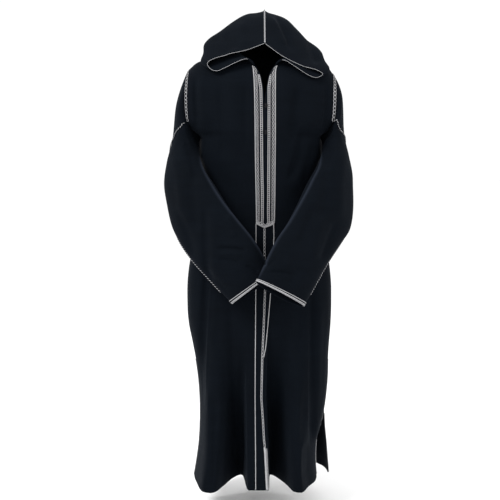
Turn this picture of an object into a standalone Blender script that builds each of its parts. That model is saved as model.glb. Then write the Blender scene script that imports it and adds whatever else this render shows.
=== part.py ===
"""Djellaba: a long hooded robe, worn and filled out, with its sleeves folded low in front.

Metres, +Z up, the front faces -Y. The origin is inside the neck, at the level of the shoulders.
Left and right are as a viewer in front sees them, so left is -X.
"""
import math
from collections import namedtuple

import bpy
from mathutils import Vector

# Cloth and seams
CLOTH = 0.002
SEAM_GAP = 0.0003
HEM_Z = -1.41
SLIT_TOP_Z = -1.17
PIPING_TOP_Z = -1.0

# Neck and front slit
NECK_HALF_WIDTH = 0.085
NECK_FRONT_DEPTH = 0.100
NECK_BACK_DEPTH = 0.070
NECK_FRONT_ANGLES = (0, 14, 27, 40, 53, 68)
NECK_BACK_ANGLES = (0, 28, 47, 64, 78, 90)
V_FOOT_Z = -0.514
V_BAND = 0.009
V_DIP = 0.013

# Shoulders roll over above this level, and the armhole ends at its foot
ROLL_Z = -0.10
ARMHOLE_FOOT_Z = -0.24
ARMHOLE_CENTRE_Z = -0.13
ARMHOLE_TOP_X = 0.25
ARMHOLE_BRAID_FOOT_Z = -0.185
SLEEVE_GAP = 0.0008
SLIT_START = 0.02
SLIT_SPREAD = 0.012
SLIT_RUN = 0.12
BOXINESS = 2.5
FOLD_FADE = 8
# How fast the neck seam's wall turns from level at the sides to upright at the front and back
NECK_WALL_TURN = 14.4

# Trims
BRAID_RISE = 0.0012
CORD_RADIUS = 0.0014
RIDGE_RADIUS = 0.0018
TRIM_LEAST = 0.010
TRIM_END = 0.04
BRIM_END = 0.10
PIPING_LIFT = 0.0006
SLEEVE_PIPING_LIFT = 0.0016
BRIM_LIFT = 0.0019
PIPING_STEPS = 4
RIGHT_CORD_FOOT_Z = -0.82
KNOT_X = 0.0035
KNOT_SIZE = (0.0045, 0.003, 0.0075)
KNOT_STEPS = 5
KNOT_PLACES = (-0.136, -0.222)
TINY = 1e-5
SHARP_ANGLE = 40

Section = namedtuple("Section", "z left right back_left back_right front back")
SECTIONS = (
    Section(-0.10, 0.292, 0.262, 0.292, 0.262, 0.118, 0.104),
    Section(-0.185, 0.275, 0.245, 0.275, 0.245, 0.121, 0.108),
    Section(-0.24, 0.214, 0.188, 0.214, 0.188, 0.120, 0.106),
    Section(-0.285, 0.2165, 0.1905, 0.2165, 0.1905, 0.112, 0.102),
    Section(-0.34, 0.208, 0.184, 0.208, 0.184, 0.104, 0.100),
    Section(-0.42, 0.190, 0.166, 0.190, 0.166, 0.100, 0.100),
    Section(-0.53, 0.208, 0.184, 0.208, 0.184, 0.102, 0.104),
    Section(-0.64, 0.250, 0.218, 0.250, 0.218, 0.110, 0.114),
    Section(-0.75, 0.264, 0.230, 0.264, 0.230, 0.124, 0.124),
    Section(-0.87, 0.260, 0.229, 0.260, 0.229, 0.132, 0.132),
    Section(-0.97, 0.241, 0.222, 0.241, 0.222, 0.138, 0.138),
    Section(-1.08, 0.226, 0.219, 0.226, 0.219, 0.144, 0.142),
    Section(-1.19, 0.222, 0.206, 0.222, 0.210, 0.150, 0.146),
    Section(-1.30, 0.227, 0.180, 0.225, 0.219, 0.156, 0.150),
    Section(-1.41, 0.244, 0.184, 0.232, 0.228, 0.160, 0.154),
)

Shoulder = namedtuple("Shoulder", "x left right")
SHOULDERS = (
    Shoulder(0.00, 0.056, 0.056),
    Shoulder(0.085, 0.045, 0.045),
    Shoulder(0.150, 0.034, 0.028),
    Shoulder(0.200, 0.020, 0.008),
    Shoulder(0.235, 0.004, -0.036),
    Shoulder(0.262, -0.026, -0.070),
)

Armhole = namedtuple("Armhole", "z left right")
ARMHOLE = (
    Armhole(0.00, 0.257, 0.233),
    Armhole(-0.10, 0.264, 0.236),
    Armhole(-0.185, 0.258, 0.230),
    Armhole(-0.215, 0.240, 0.212),
    Armhole(-0.24, 0.214, 0.188),
)

Opening = namedtuple("Opening", "z half trim_left trim_right")
OPENING = (
    Opening(0.00, 0.0315, 0.042, 0.040),
    Opening(-0.016, 0.0215, 0.039, 0.037),
    Opening(-0.060, 0.0090, 0.036, 0.036),
    Opening(-0.127, 0.0012, 0.034, 0.036),
    Opening(-0.30, 0.0003, 0.032, 0.036),
    Opening(-0.53, 0.0, 0.028, 0.034),
    Opening(-0.74, 0.0, 0.029, 0.022),
    Opening(-0.87, 0.0, 0.029, 0.0165),
    Opening(-1.41, 0.0, 0.030, 0.0170),
)

# Where the trims' edges lie between the slit and the outer braid's outer edge
TRIM_SHARES = (0.0, 0.10, 0.42, 0.54, 1.0)
# Where the panel's other columns lie between the trim and the armhole or side seam
FIELD_SHARES = (0.0, 0.10, 0.22, 0.36, 0.50, 0.65, 0.80, 0.945, 1.0)
BACK_SHARES = (0.20, 0.40, 0.60, 0.77, 0.92, 1.0)

# Depth is towards the back at the hem, and a negative one comes forward
Fold = namedtuple("Fold", "x_top x_hem reach_left reach_right depth top_z")
FRONT_FOLDS = (
    Fold(-0.185, -0.200, 0.050, 0.075, -0.085, -0.72),
    Fold(-0.085, -0.079, 0.085, 0.028, 0.150, -0.86),
    Fold(0.0170, 0.0175, 0.0105, 0.095, 0.155, -0.80),
    Fold(0.140, 0.120, 0.050, 0.045, -0.050, -0.72),
)
BACK_FOLDS = (
    Fold(-0.160, -0.178, 0.050, 0.050, 0.045, -0.60),
    Fold(-0.085, -0.098, 0.050, 0.055, -0.060, -0.72),
    Fold(-0.010, -0.015, 0.060, 0.050, 0.030, -0.50),
    Fold(0.070, 0.078, 0.050, 0.050, -0.065, -0.78),
    Fold(0.145, 0.160, 0.050, 0.045, 0.050, -0.62),
)

ARM_ROWS = (-0.13, -0.16, -0.185, -0.215, ARMHOLE_FOOT_Z)
CHEST_ROWS = (-0.30, -0.36, -0.42, -0.47)
V_ROWS = (V_FOOT_Z, V_FOOT_Z - V_BAND)
SKIRT_TOP_Z = -0.58
SKIRT_ROWS = 14
BACK_ROWS = (-0.31, -0.38, -0.45, -0.51)
BACK_ROLL_ROWS = 4

# Sleeve rings: the inner and upper edge, the elbow and lower edge, and half the thickness
Ring = namedtuple("Ring", "inner outer thick")
LEFT_SLEEVE = (
    Ring((-0.2195, -0.022, -0.285), (-0.310, -0.008, -0.244), 0.066),
    Ring((-0.200, -0.100, -0.340), (-0.326, -0.014, -0.324), 0.052),
    Ring((-0.164, -0.150, -0.397), (-0.332, -0.024, -0.398), 0.049),
    Ring((-0.128, -0.172, -0.450), (-0.323, -0.040, -0.466), 0.046),
    Ring((-0.092, -0.182, -0.496), (-0.306, -0.064, -0.537), 0.044),
    Ring((-0.061, -0.188, -0.533), (-0.280, -0.100, -0.584), 0.042),
    Ring((-0.030, -0.192, -0.574), (-0.240, -0.136, -0.636), 0.040),
    Ring((-0.002, -0.194, -0.622), (-0.176, -0.166, -0.704), 0.037),
    Ring((0.024, -0.196, -0.676), (-0.105, -0.184, -0.777), 0.033),
)
RIGHT_SLEEVE = (
    Ring((0.1935, -0.022, -0.280), (0.268, -0.008, -0.215), 0.066),
    Ring((0.176, -0.104, -0.328), (0.278, -0.014, -0.295), 0.052),
    Ring((0.143, -0.162, -0.388), (0.289, -0.024, -0.380), 0.049),
    Ring((0.107, -0.198, -0.452), (0.293, -0.044, -0.466), 0.046),
    Ring((0.072, -0.226, -0.510), (0.281, -0.074, -0.545), 0.044),
    Ring((0.038, -0.248, -0.558), (0.246, -0.124, -0.590), 0.042),
    Ring((0.013, -0.264, -0.603), (0.206, -0.174, -0.640), 0.040),
    Ring((-0.008, -0.276, -0.648), (0.164, -0.216, -0.706), 0.037),
    Ring((-0.027, -0.282, -0.688), (0.124, -0.244, -0.775), 0.033),
)
SLEEVE_START_SHARE = 0.42
SLEEVE_START_PUFF = 0.004
SLEEVE_START_OUT = 0.009
SLEEVE_FOOT_OUT = 0.0030
# How far the thickness of the first rings turns to face straight forward
SLEEVE_FACING = (0.8, 0.4)
CUFF_BAND = 0.011

# Where the underarm seam runs: ring and column of the sleeve's grid, column 0 on the outer edge
Stop = namedtuple("Stop", "ring column")
SEAM_PATH = (
    Stop(0.6, 10.4), Stop(1.5, 8.1), Stop(1.9, 5.5), Stop(2.1, 3.0), Stop(2.35, 0),
    Stop(3.0, -0.6), Stop(6.0, -0.6), Stop(7.0, 0.2), Stop(9.8, 0.3),
)

# Hood ribs: where each starts at the brim and where it passes the crown
Rib = namedtuple("Rib", "along brim crown")
LEFT_HOOD = (
    Rib(0.00, (-0.032, -0.093, 0.000), (-0.085, 0.000, 0.046)),
    Rib(0.10, (-0.066, -0.112, 0.013), (-0.118, -0.006, 0.052)),
    Rib(0.22, (-0.116, -0.112, -0.008), (-0.158, -0.010, 0.044)),
    Rib(0.34, (-0.164, -0.108, -0.025), (-0.190, -0.012, 0.036)),
    Rib(0.44, (-0.194, -0.104, 0.000), (-0.203, -0.004, 0.042)),
    Rib(0.54, (-0.176, -0.108, 0.017), (-0.194, 0.004, 0.080)),
    Rib(0.66, (-0.130, -0.112, 0.030), (-0.152, 0.010, 0.113)),
    Rib(0.82, (-0.066, -0.112, 0.042), (-0.086, 0.016, 0.150)),
    Rib(1.00, (0.000, -0.110, 0.066), (0.000, -0.030, 0.136)),
)
RIGHT_HOOD = (
    Rib(0.00, (0.032, -0.093, 0.000), (0.085, 0.000, 0.046)),
    Rib(0.10, (0.066, -0.112, 0.009), (0.118, -0.006, 0.050)),
    Rib(0.22, (0.112, -0.112, -0.020), (0.158, -0.010, 0.038)),
    Rib(0.34, (0.164, -0.108, -0.046), (0.190, -0.012, 0.022)),
    Rib(0.44, (0.192, -0.104, -0.034), (0.203, -0.004, 0.022)),
    Rib(0.54, (0.170, -0.108, -0.018), (0.193, 0.004, 0.050)),
    Rib(0.66, (0.128, -0.112, -0.008), (0.146, 0.010, 0.083)),
    Rib(0.82, (0.062, -0.112, 0.022), (0.088, 0.016, 0.134)),
    Rib(1.00, (0.000, -0.110, 0.066), (0.000, -0.030, 0.136)),
)
# The seam at the back of the hood bows out through these on its way to the peak
NAPE_SEAM = ((0.0, 0.125, 0.070), (0.0, 0.125, 0.150))
PEAK = (0.0, 0.055, 0.184)
HOOD_MIDDLE = (0.0, 0.01, 0.07)
HOOD_ROW_SHARES = (0.09, 0.18, 0.26, 0.32, 0.36, 0.39, 0.42, 0.45, 0.48, 0.52, 0.58, 0.66,
                   0.75, 0.84, 0.92, 1.0)
HOOD_ROWS = len(HOOD_ROW_SHARES)
HOOD_LIFT = 0.0005

CLOTH_FINISH = ("black_wool", (0.0098, 0.0121, 0.0168), 0.88, 0.0)
BRAID_FINISH = ("silver_braid", (0.42, 0.42, 0.42), 0.55, 0.15)
KNOT_FINISH = ("black_silk_cord", (0.006, 0.006, 0.008), 0.6, 0.0)

LEFT = -1
RIGHT = 1
FRONT = -1
BACK = 1


# Reading the tables

def smooth(rows, key, name, at):
    """Value of one named column at a place, on a smooth curve through the rows."""
    keys = [getattr(row, key) for row in rows]
    values = [getattr(row, name) for row in rows]
    if keys[0] > keys[-1]:
        keys.reverse()
        values.reverse()
    if at <= keys[0]:
        return values[0]
    if at >= keys[-1]:
        return values[-1]
    i = max(k for k in range(len(keys) - 1) if keys[k] <= at)
    span = keys[i + 1] - keys[i]
    t = (at - keys[i]) / span

    def slope(k):
        low = max(k - 1, 0)
        high = min(k + 1, len(keys) - 1)
        return (values[high] - values[low]) / (keys[high] - keys[low]) * span

    a = values[i]
    b = values[i + 1]
    return (a * (1 + 2 * t) * (1 - t) ** 2 + slope(i) * t * (1 - t) ** 2
            + b * t * t * (3 - 2 * t) - slope(i + 1) * t * t * (1 - t))


def smooth_point(rows, key, name, at):
    """The same for a column that holds points."""
    Pair = namedtuple("Pair", "key value")
    out = []
    for axis in range(3):
        column = [Pair(getattr(row, key), getattr(row, name)[axis]) for row in rows]
        out.append(smooth(column, "key", "value", at))
    return Vector(out)


def ease(t):
    t = min(max(t, 0.0), 1.0)
    return t * t * (3 - 2 * t)


def side_name(side):
    return "left" if side == LEFT else "right"


# The body's form

def half_width(side, face, z):
    name = side_name(side)
    if face == BACK:
        name = "back_" + name
    return smooth(SECTIONS, "z", name, min(z, ROLL_Z))


def fold_push(x, z, face, share):
    """How far the folds move the cloth towards the back at a place."""
    push = 0.0
    for fold in FRONT_FOLDS if face == FRONT else BACK_FOLDS:
        grown = ease((fold.top_z - z) / (fold.top_z - HEM_Z))
        centre = fold.x_top + (fold.x_hem - fold.x_top) * grown
        reach = fold.reach_left if x < centre else fold.reach_right
        t = (x - centre) / reach
        if grown > 0 and abs(t) < 1:
            push += fold.depth * grown * math.cos(t * math.pi / 2) ** 2
    return push * (1 - share ** FOLD_FADE)


def form_y(x, z, face):
    """Depth of the front or back at a place below the rolled shoulders."""
    side = LEFT if x < 0 else RIGHT
    share = min(abs(x) / half_width(side, face, z), 1.0)
    depth = smooth(SECTIONS, "z", "front" if face == FRONT else "back", z)
    y = face * depth * (1 - share ** BOXINESS) ** (1 / BOXINESS)
    slit = ease((SLIT_TOP_Z - z) / SLIT_RUN)
    return y + fold_push(x, z, face, share) + face * SLIT_SPREAD * slit


def on_roll(x, angle, face):
    """Point on the rolled shoulder: angle 0 is the shoulder seam and 90 its foot."""
    top = smooth(SHOULDERS, "x", side_name(LEFT if x < 0 else RIGHT), abs(x))
    turn = math.radians(angle)
    z = ROLL_Z + (top - ROLL_Z) * math.cos(turn)
    return Vector((x, form_y(x, ROLL_Z, face) * math.sin(turn), z))


def on_form(x, z, face):
    return Vector((x, form_y(x, z, face), z))


def neck_station(side, face, angle):
    """Point of the neck seam and its angle on the rolled shoulder."""
    turn = math.radians(angle)
    x = side * NECK_HALF_WIDTH * math.cos(turn)
    depth = NECK_FRONT_DEPTH if face == FRONT else NECK_BACK_DEPTH
    roll = math.degrees(math.asin(depth * math.sin(turn) / abs(form_y(x, ROLL_Z, face))))
    return x, roll


def neck_normal(point):
    return Vector((0, NECK_WALL_TURN * point.y, 1)).normalized()


def outer_edge(side, face, z):
    """Distance of the armhole or the side seam from the middle."""
    if z >= ARMHOLE_FOOT_Z:
        return smooth(ARMHOLE, "z", side_name(side), z)
    return half_width(side, face, z)


# Sheets of cloth: a grid of outer points, and the way to the wall's inner side at each

class Sheet:
    def __init__(self, points, flip=False, closed=False):
        self.points = points
        self.closed = closed
        self.flip = flip
        self.inward = [[self.normal(r, c) for c in range(len(points[0]))] for r in range(len(points))]

    def normal(self, r, c):
        """Inward direction from the neighbours in the grid."""
        rows = self.points
        count = len(rows[0])
        up = rows[max(r - 1, 0)][c]
        down = rows[min(r + 1, len(rows) - 1)][c]
        if self.closed:
            before = rows[r][(c - 1) % count]
            after = rows[r][(c + 1) % count]
        else:
            before = rows[r][max(c - 1, 0)]
            after = rows[r][min(c + 1, count - 1)]
        way = (down - up).cross(after - before)
        if way.length < 1e-12:
            way = Vector((0, 0, 1))
        way.normalize()
        return -way if self.flip else way

    def place(self, r, c):
        """Point and inward direction at a place between grid points, on the wall's own triangles."""
        r0 = min(int(r), len(self.points) - 2)
        c0 = int(c)
        count = len(self.points[0])
        if not self.closed:
            c0 = min(c0, count - 2)
        c1 = (c0 + 1) % count
        down = r - r0
        along = c - c0
        if self.flip:
            c0, c1 = c1, c0
            along = 1 - along
        out = []
        for grid in (self.points, self.inward):
            first = grid[r0][c0]
            far = grid[r0 + 1][c1]
            if along >= down:
                corner = grid[r0][c1]
                out.append(first + (corner - first) * along + (far - corner) * down)
            else:
                corner = grid[r0 + 1][c0]
                out.append(first + (corner - first) * down + (far - corner) * along)
        return out[0], out[1].normalized()


def finish(name, verts, faces, finish_values):
    """Make one named object with its own material."""
    mesh = bpy.data.meshes.new(name)
    mesh.from_pydata([tuple(v) for v in verts], [], faces)
    mesh.validate()
    mesh.shade_smooth()
    mesh.set_sharp_from_angle(angle=math.radians(SHARP_ANGLE))
    obj = bpy.data.objects.new(name, mesh)
    bpy.context.scene.collection.objects.link(obj)
    title, colour, rough, metal = finish_values
    material = bpy.data.materials.new(name + "_" + title)
    material.use_nodes = True
    shader = material.node_tree.nodes["Principled BSDF"]
    shader.inputs["Base Color"].default_value = (*colour, 1)
    shader.inputs["Roughness"].default_value = rough
    shader.inputs["Metallic"].default_value = metal
    mesh.materials.append(material)
    return obj


def wall(name, outside, inside, finish_values, closed=False, flip=False):
    """Closed solid between two grids of points, open along its rows where closed is set."""
    rows = len(outside)
    count = len(outside[0])
    verts = [p for row in outside for p in row] + [p for row in inside for p in row]
    shift = rows * count
    faces = []
    spans = count if closed else count - 1
    for r in range(rows - 1):
        for c in range(spans):
            d = (c + 1) % count
            a, b = r * count + c, r * count + d
            e, f = (r + 1) * count + d, (r + 1) * count + c
            halves = ((a, b, f), (b, e, f)) if flip else ((a, b, e), (a, e, f))
            for face in halves:
                faces.append(face)
                faces.append(tuple(shift + v for v in reversed(face)))
    for c in range(spans):
        d = (c + 1) % count
        low = (rows - 1) * count
        faces.append((d, c, shift + c, shift + d))
        faces.append((low + c, low + d, shift + low + d, shift + low + c))
    if not closed:
        for r in range(rows - 1):
            a = r * count
            b = (r + 1) * count
            faces.append((a, b, shift + b, shift + a))
            a += count - 1
            b += count - 1
            faces.append((b, a, shift + a, shift + b))
    if flip:
        faces = [tuple(reversed(face)) for face in faces]
    return finish(name, verts, faces, finish_values)


def cloth_wall(name, sheet):
    inside = [[p + way * CLOTH for p, way in zip(row, ways)]
              for row, ways in zip(sheet.points, sheet.inward)]
    return wall(name, sheet.points, inside, CLOTH_FINISH, sheet.closed, sheet.flip)


def band(name, rows, flip=False, closed=False):
    """Flat braid that lies on a sheet: rows of (point, inward) places of the sheet itself."""
    under = [[p - way * SEAM_GAP for p, way in row] for row in rows]
    over = [[p - way * (SEAM_GAP + BRAID_RISE) for p, way in row] for row in rows]
    return wall(name, over, under, BRAID_FINISH, closed, flip)


def cord(name, places, radius=CORD_RADIUS, lift=SEAM_GAP, sides=5):
    """Thin cord that lies on a sheet along (point, inward) places."""
    centres = [p - way * (radius + lift) for p, way in places]
    verts = []
    for i, centre in enumerate(centres):
        ahead = centres[min(i + 1, len(centres) - 1)] - centres[max(i - 1, 0)]
        ahead.normalize()
        out = -places[i][1]
        out = (out - ahead * out.dot(ahead)).normalized()
        across = ahead.cross(out)
        for k in range(sides):
            turn = 2 * math.pi * k / sides
            verts.append(centre + out * math.cos(turn) * radius + across * math.sin(turn) * radius)
    faces = []
    for i in range(len(centres) - 1):
        for k in range(sides):
            n = (k + 1) % sides
            faces.append((i * sides + k, i * sides + n, (i + 1) * sides + n, (i + 1) * sides + k))
    faces.append(tuple(reversed(range(sides))))
    faces.append(tuple((len(centres) - 1) * sides + k for k in range(sides)))
    return finish(name, verts, faces, BRAID_FINISH)


# Front panels

NECK_ROWS = len(NECK_FRONT_ANGLES)
ROLL_ROWS = NECK_ROWS + 3
TRIM_EDGE = len(TRIM_SHARES) - 1


def skirt_levels():
    return tuple(SKIRT_TOP_Z + (HEM_Z - SKIRT_TOP_Z) * k / SKIRT_ROWS for k in range(SKIRT_ROWS + 1))


def roll_level(side, x, roll):
    """Height of a place on the rolled shoulder."""
    top = smooth(SHOULDERS, "x", side_name(side), x)
    return ROLL_Z + (top - ROLL_Z) * math.cos(math.radians(roll))


def front_columns(side, inner, outer, z):
    """Distances from the middle of a front panel's columns: trim edges, then the field."""
    trim = max(smooth(OPENING, "z", "trim_" + side_name(side), z), inner + TRIM_LEAST)
    xs = [inner + (trim - inner) * share for share in TRIM_SHARES]
    return xs + [trim + (outer - trim) * share for share in FIELD_SHARES[1:]]


def front_panel(side):
    points = []
    roll = 0.0
    for k in range(ROLL_ROWS):
        if k < NECK_ROWS:
            x, roll = neck_station(side, FRONT, NECK_FRONT_ANGLES[k])
            level = roll_level(side, abs(x), roll)
            inner = abs(x)
            neck_roll = roll
        else:
            roll = neck_roll + (90 - neck_roll) * (k - NECK_ROWS + 1) / (ROLL_ROWS - NECK_ROWS)
            level = roll_level(side, 0.0, roll)
            inner = smooth(OPENING, "z", "half", level)
        outer = outer_edge(side, FRONT, roll_level(side, ARMHOLE_TOP_X, roll))
        xs = front_columns(side, inner, outer, level)
        points.append([on_roll(side * x, roll, FRONT) for x in xs])
    for z in ARM_ROWS + CHEST_ROWS + V_ROWS + skirt_levels():
        inner = smooth(OPENING, "z", "half", z)
        xs = front_columns(side, inner, outer_edge(side, FRONT, z), z)
        row = []
        for x in xs:
            dip = V_DIP * max(1 - x / xs[TRIM_EDGE], 0) if z in V_ROWS else 0.0
            row.append(on_form(side * x, z - dip, FRONT))
        points.append(row)
    sheet = Sheet(points, flip=(side == RIGHT))
    dress_outer_edge(sheet, side, FRONT, len(points[0]) - 1)
    for r, row in enumerate(points):
        if r < NECK_ROWS:
            sheet.inward[r][0] = -neck_normal(row[0])
        else:
            way = sheet.inward[r][0]
            sheet.inward[r][0] = Vector((0, way.y, way.z)).normalized()
            row[0].x += side * SEAM_GAP / 2
    dress_shoulder_seam(sheet, FRONT, range(len(points[0])))
    return sheet


def armhole_inward(point):
    return Vector((0, -point.y, ARMHOLE_CENTRE_Z - point.z)).normalized()


def dress_outer_edge(sheet, side, face, c):
    """Turn the wall along the armhole and the side seam, and part the seam by its gap."""
    for r, row in enumerate(sheet.points):
        above = row[c].z - ARMHOLE_FOOT_Z
        if above > TINY:
            sheet.inward[r][c] = armhole_inward(row[c])
        elif above > -TINY:
            sheet.inward[r][c] = Vector((-side, 0, 1)).normalized()
        else:
            sheet.inward[r][c] = Vector((-side, 0, 0))
        if above < TINY:
            row[c].y += face * SEAM_GAP / 2


def dress_shoulder_seam(sheet, face, columns):
    for c in columns:
        sheet.inward[0][c] = Vector((0, 0, -1))
        sheet.points[0][c].y = face * SEAM_GAP / 2


# Back panel

BACK_OUT = len(BACK_SHARES)
BACK_IN = len(NECK_BACK_ANGLES)


def back_half(side, share, z):
    """One half of a row of the back, from the side to the middle."""
    rolled = z is None
    if rolled:
        outer = outer_edge(side, BACK, roll_level(side, ARMHOLE_TOP_X, 90 * share))
    else:
        outer = outer_edge(side, BACK, z)
    half = []
    for part in reversed(BACK_SHARES):
        x = side * (NECK_HALF_WIDTH + (outer - NECK_HALF_WIDTH) * part)
        half.append(on_roll(x, 90 * share, BACK) if rolled else on_form(x, z, BACK))
    for angle in NECK_BACK_ANGLES:
        x, top = neck_station(side, BACK, angle)
        half.append(on_roll(x, top + (90 - top) * share, BACK) if rolled else on_form(x, z, BACK))
    return half


def back_panel():
    points = []
    levels = [(k / BACK_ROLL_ROWS, None) for k in range(BACK_ROLL_ROWS + 1)]
    levels += [(0, z) for z in ARM_ROWS + BACK_ROWS + skirt_levels()]
    for share, z in levels:
        left = back_half(LEFT, share, z)
        right = back_half(RIGHT, share, z)
        points.append(left + right[-2::-1])
    sheet = Sheet(points)
    last = len(points[0]) - 1
    dress_outer_edge(sheet, LEFT, BACK, 0)
    dress_outer_edge(sheet, RIGHT, BACK, last)
    dress_shoulder_seam(sheet, BACK, list(range(BACK_OUT + 1)) + list(range(last - BACK_OUT, last + 1)))
    for c in range(BACK_OUT + 1, last - BACK_OUT):
        sheet.inward[0][c] = -neck_normal(points[0][c])
    return sheet


# Sleeves

def armhole_loop(front, back, side):
    """Points round the armhole: from the shoulder down the front, then up the back."""
    outer = 0 if side == LEFT else len(back.points[0]) - 1
    down = [row[-1].copy() for row in front.points if row[-1].z > ARMHOLE_FOOT_Z - TINY]
    up = [row[outer].copy() for row in back.points if row[outer].z > ARMHOLE_FOOT_Z - TINY]
    down[0].y = 0.0
    down[-1].y = 0.0
    return down + up[-2:0:-1], len(down) - 1


def loop_angles(loop, foot):
    """Angle of each point of the armhole, 0 at the shoulder and 180 at the foot, by length."""
    lengths = [0.0]
    for a, b in zip(loop, loop[1:] + loop[:1]):
        lengths.append(lengths[-1] + (b - a).length)
    half = lengths[foot]
    rest = lengths[-1] - half
    return [180 * d / half if d <= half else 180 + 180 * (d - half) / rest for d in lengths[:-1]]


def sleeve_ring(rings, k, angles):
    """Points round the sleeve at one ring of the table."""
    mids = [(Vector(ring.inner) + Vector(ring.outer)) / 2 for ring in rings]
    reach = (Vector(rings[k].outer) - Vector(rings[k].inner)) / 2
    along = mids[min(k + 1, len(rings) - 1)] - mids[max(k - 1, 0)]
    across = reach.cross(along).normalized()
    if across.y > 0:
        across = -across
    if k < len(SLEEVE_FACING):
        across = across.lerp(Vector((0, FRONT, 0)), SLEEVE_FACING[k]).normalized()
    points = []
    for angle in angles:
        turn = math.radians(angle)
        points.append(mids[k] + reach * math.cos(turn) + across * rings[k].thick * math.sin(turn))
    return points


def sleeve(rings, front, back, side):
    loop, foot = armhole_loop(front, back, side)
    angles = loop_angles(loop, foot)
    out = Vector((side, 0, 0))
    start = [p + out * SLEEVE_GAP for p in loop]
    shaped = [sleeve_ring(rings, k, angles) for k in range(len(rings))]
    centre = (Vector(rings[0].inner) + Vector(rings[0].outer)) / 2
    second = []
    for a, b, angle in zip(start, shaped[0], angles):
        p = a.lerp(b, SLEEVE_START_SHARE)
        away = Vector((p.x - centre.x, p.y - centre.y, 0)).normalized()
        facing = abs(math.sin(math.radians(angle)))
        top = (1 + math.cos(math.radians(angle))) / 2
        second.append(p + away * SLEEVE_START_PUFF * facing + out * (SLEEVE_START_OUT * top + SLEEVE_FOOT_OUT))
    length = (Vector(rings[-1].outer) - Vector(rings[-2].outer)).length
    band_row = [b.lerp(a, CUFF_BAND / length) for a, b in zip(shaped[-2], shaped[-1])]
    sheet = Sheet([start, second] + shaped[:-1] + [band_row, shaped[-1]],
                  flip=(side == LEFT), closed=True)
    for c, point in enumerate(loop):
        sheet.inward[0][c] = armhole_inward(point)
    return sheet


# Hood

def through_three(a, b, c, s):
    """Point on the curve through three points, at shares 0, a half and 1."""
    return a * (2 * (s - 0.5) * (s - 1)) + b * (4 * s * (1 - s)) + c * (2 * s * (s - 0.5))


def neck_edge(side):
    """Points of the neck seam from the front corner round to the nape."""
    front = [on_roll(*neck_station(side, FRONT, angle), FRONT) for angle in NECK_FRONT_ANGLES]
    back = [on_roll(*neck_station(side, BACK, angle), BACK) for angle in NECK_BACK_ANGLES]
    return front[::-1] + back[1:]


def nape_seam(t, nape):
    a, b, c = nape, Vector(NAPE_SEAM[0]), Vector(NAPE_SEAM[1])
    d = Vector(PEAK)
    return a * (1 - t) ** 3 + b * 3 * t * (1 - t) ** 2 + c * 3 * t * t * (1 - t) + d * t ** 3


def seam_inward(path):
    """Direction from each point of a seam in the middle plane towards the inside of the hood."""
    out = []
    for i, point in enumerate(path):
        along = path[min(i + 1, len(path) - 1)] - path[max(i - 1, 0)]
        way = Vector((0, -along.z, along.y)).normalized()
        out.append(way if way.dot(Vector(HOOD_MIDDLE) - point) > 0 else -way)
    return out


def hood_half(ribs, side):
    edge = neck_edge(side)
    last = len(edge) - 1
    points = [[p + neck_normal(p) * HOOD_LIFT for p in edge]]
    for t in HOOD_ROW_SHARES:
        brim = smooth_point(ribs, "along", "brim", t)
        crown = smooth_point(ribs, "along", "crown", t)
        seam = nape_seam(t, edge[-1])
        points.append([through_three(brim, crown, seam, i / last) for i in range(last + 1)])
    sheet = Sheet(points, flip=(side == LEFT))
    for c, point in enumerate(edge):
        sheet.inward[0][c] = neck_normal(point)
    nape = [row[last] for row in points]
    for r, way in enumerate(seam_inward(nape)):
        if r > 0:
            sheet.inward[r][last] = way
    for c, way in enumerate(seam_inward(points[HOOD_ROWS])):
        corner = sheet.inward[HOOD_ROWS][last] if c == last else way
        sheet.inward[HOOD_ROWS][c] = (way + corner).normalized()
    for point in nape + points[HOOD_ROWS]:
        point.x = side * SEAM_GAP / 2
    return sheet


# Trims, each made from the places of the sheet that it lies on

def patch(sheet, rows, columns):
    return [[sheet.place(r, c) for c in columns] for r in rows]


def middle(a, b):
    return (a[0] + b[0]) / 2, (a[1] + b[1]).normalized()


def across_middle(left, right, rows, columns):
    """Places of both fronts, from the left one's column to the right one's."""
    out = []
    for r in rows:
        row = [left.place(r, c) for c in reversed(columns)]
        row.append(middle(left.place(r, 0), right.place(r, 0)))
        row += [right.place(r, c) for c in columns]
        out.append(row)
    return out


def chest_trims(fronts):
    foot = ROLL_ROWS + len(ARM_ROWS) + len(CHEST_ROWS)
    last = len(fronts[LEFT].points) - 1
    rows = list(range(NECK_ROWS - 1, foot + 1))
    for side, sheet in fronts.items():
        name = side_name(side)
        band("chest_braid_" + name, patch(sheet, rows, (3, 4)), sheet.flip)
        band("chest_ladder_" + name, patch(sheet, rows, (1, 2)), sheet.flip)
        lowest = HEM_Z if side == LEFT else RIGHT_CORD_FOOT_Z
        below = [r for r in range(foot + 2, last + 1) if sheet.points[r][TRIM_EDGE].z > lowest - TINY]
        cord("front_cord_" + name, [sheet.place(r, TRIM_EDGE) for r in [foot + 1 + TRIM_END] + below])
    v_rows = (foot + TRIM_END, foot + 1)
    band("slit_foot_braid", across_middle(fronts[LEFT], fronts[RIGHT], v_rows, (1, 2, 3, 4)), True)
    chain_rows = [foot + 1 + TRIM_END] + list(range(foot + 2, last + 1))
    band("centre_chain", across_middle(fronts[LEFT], fronts[RIGHT], chain_rows, (1,)), True)


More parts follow.
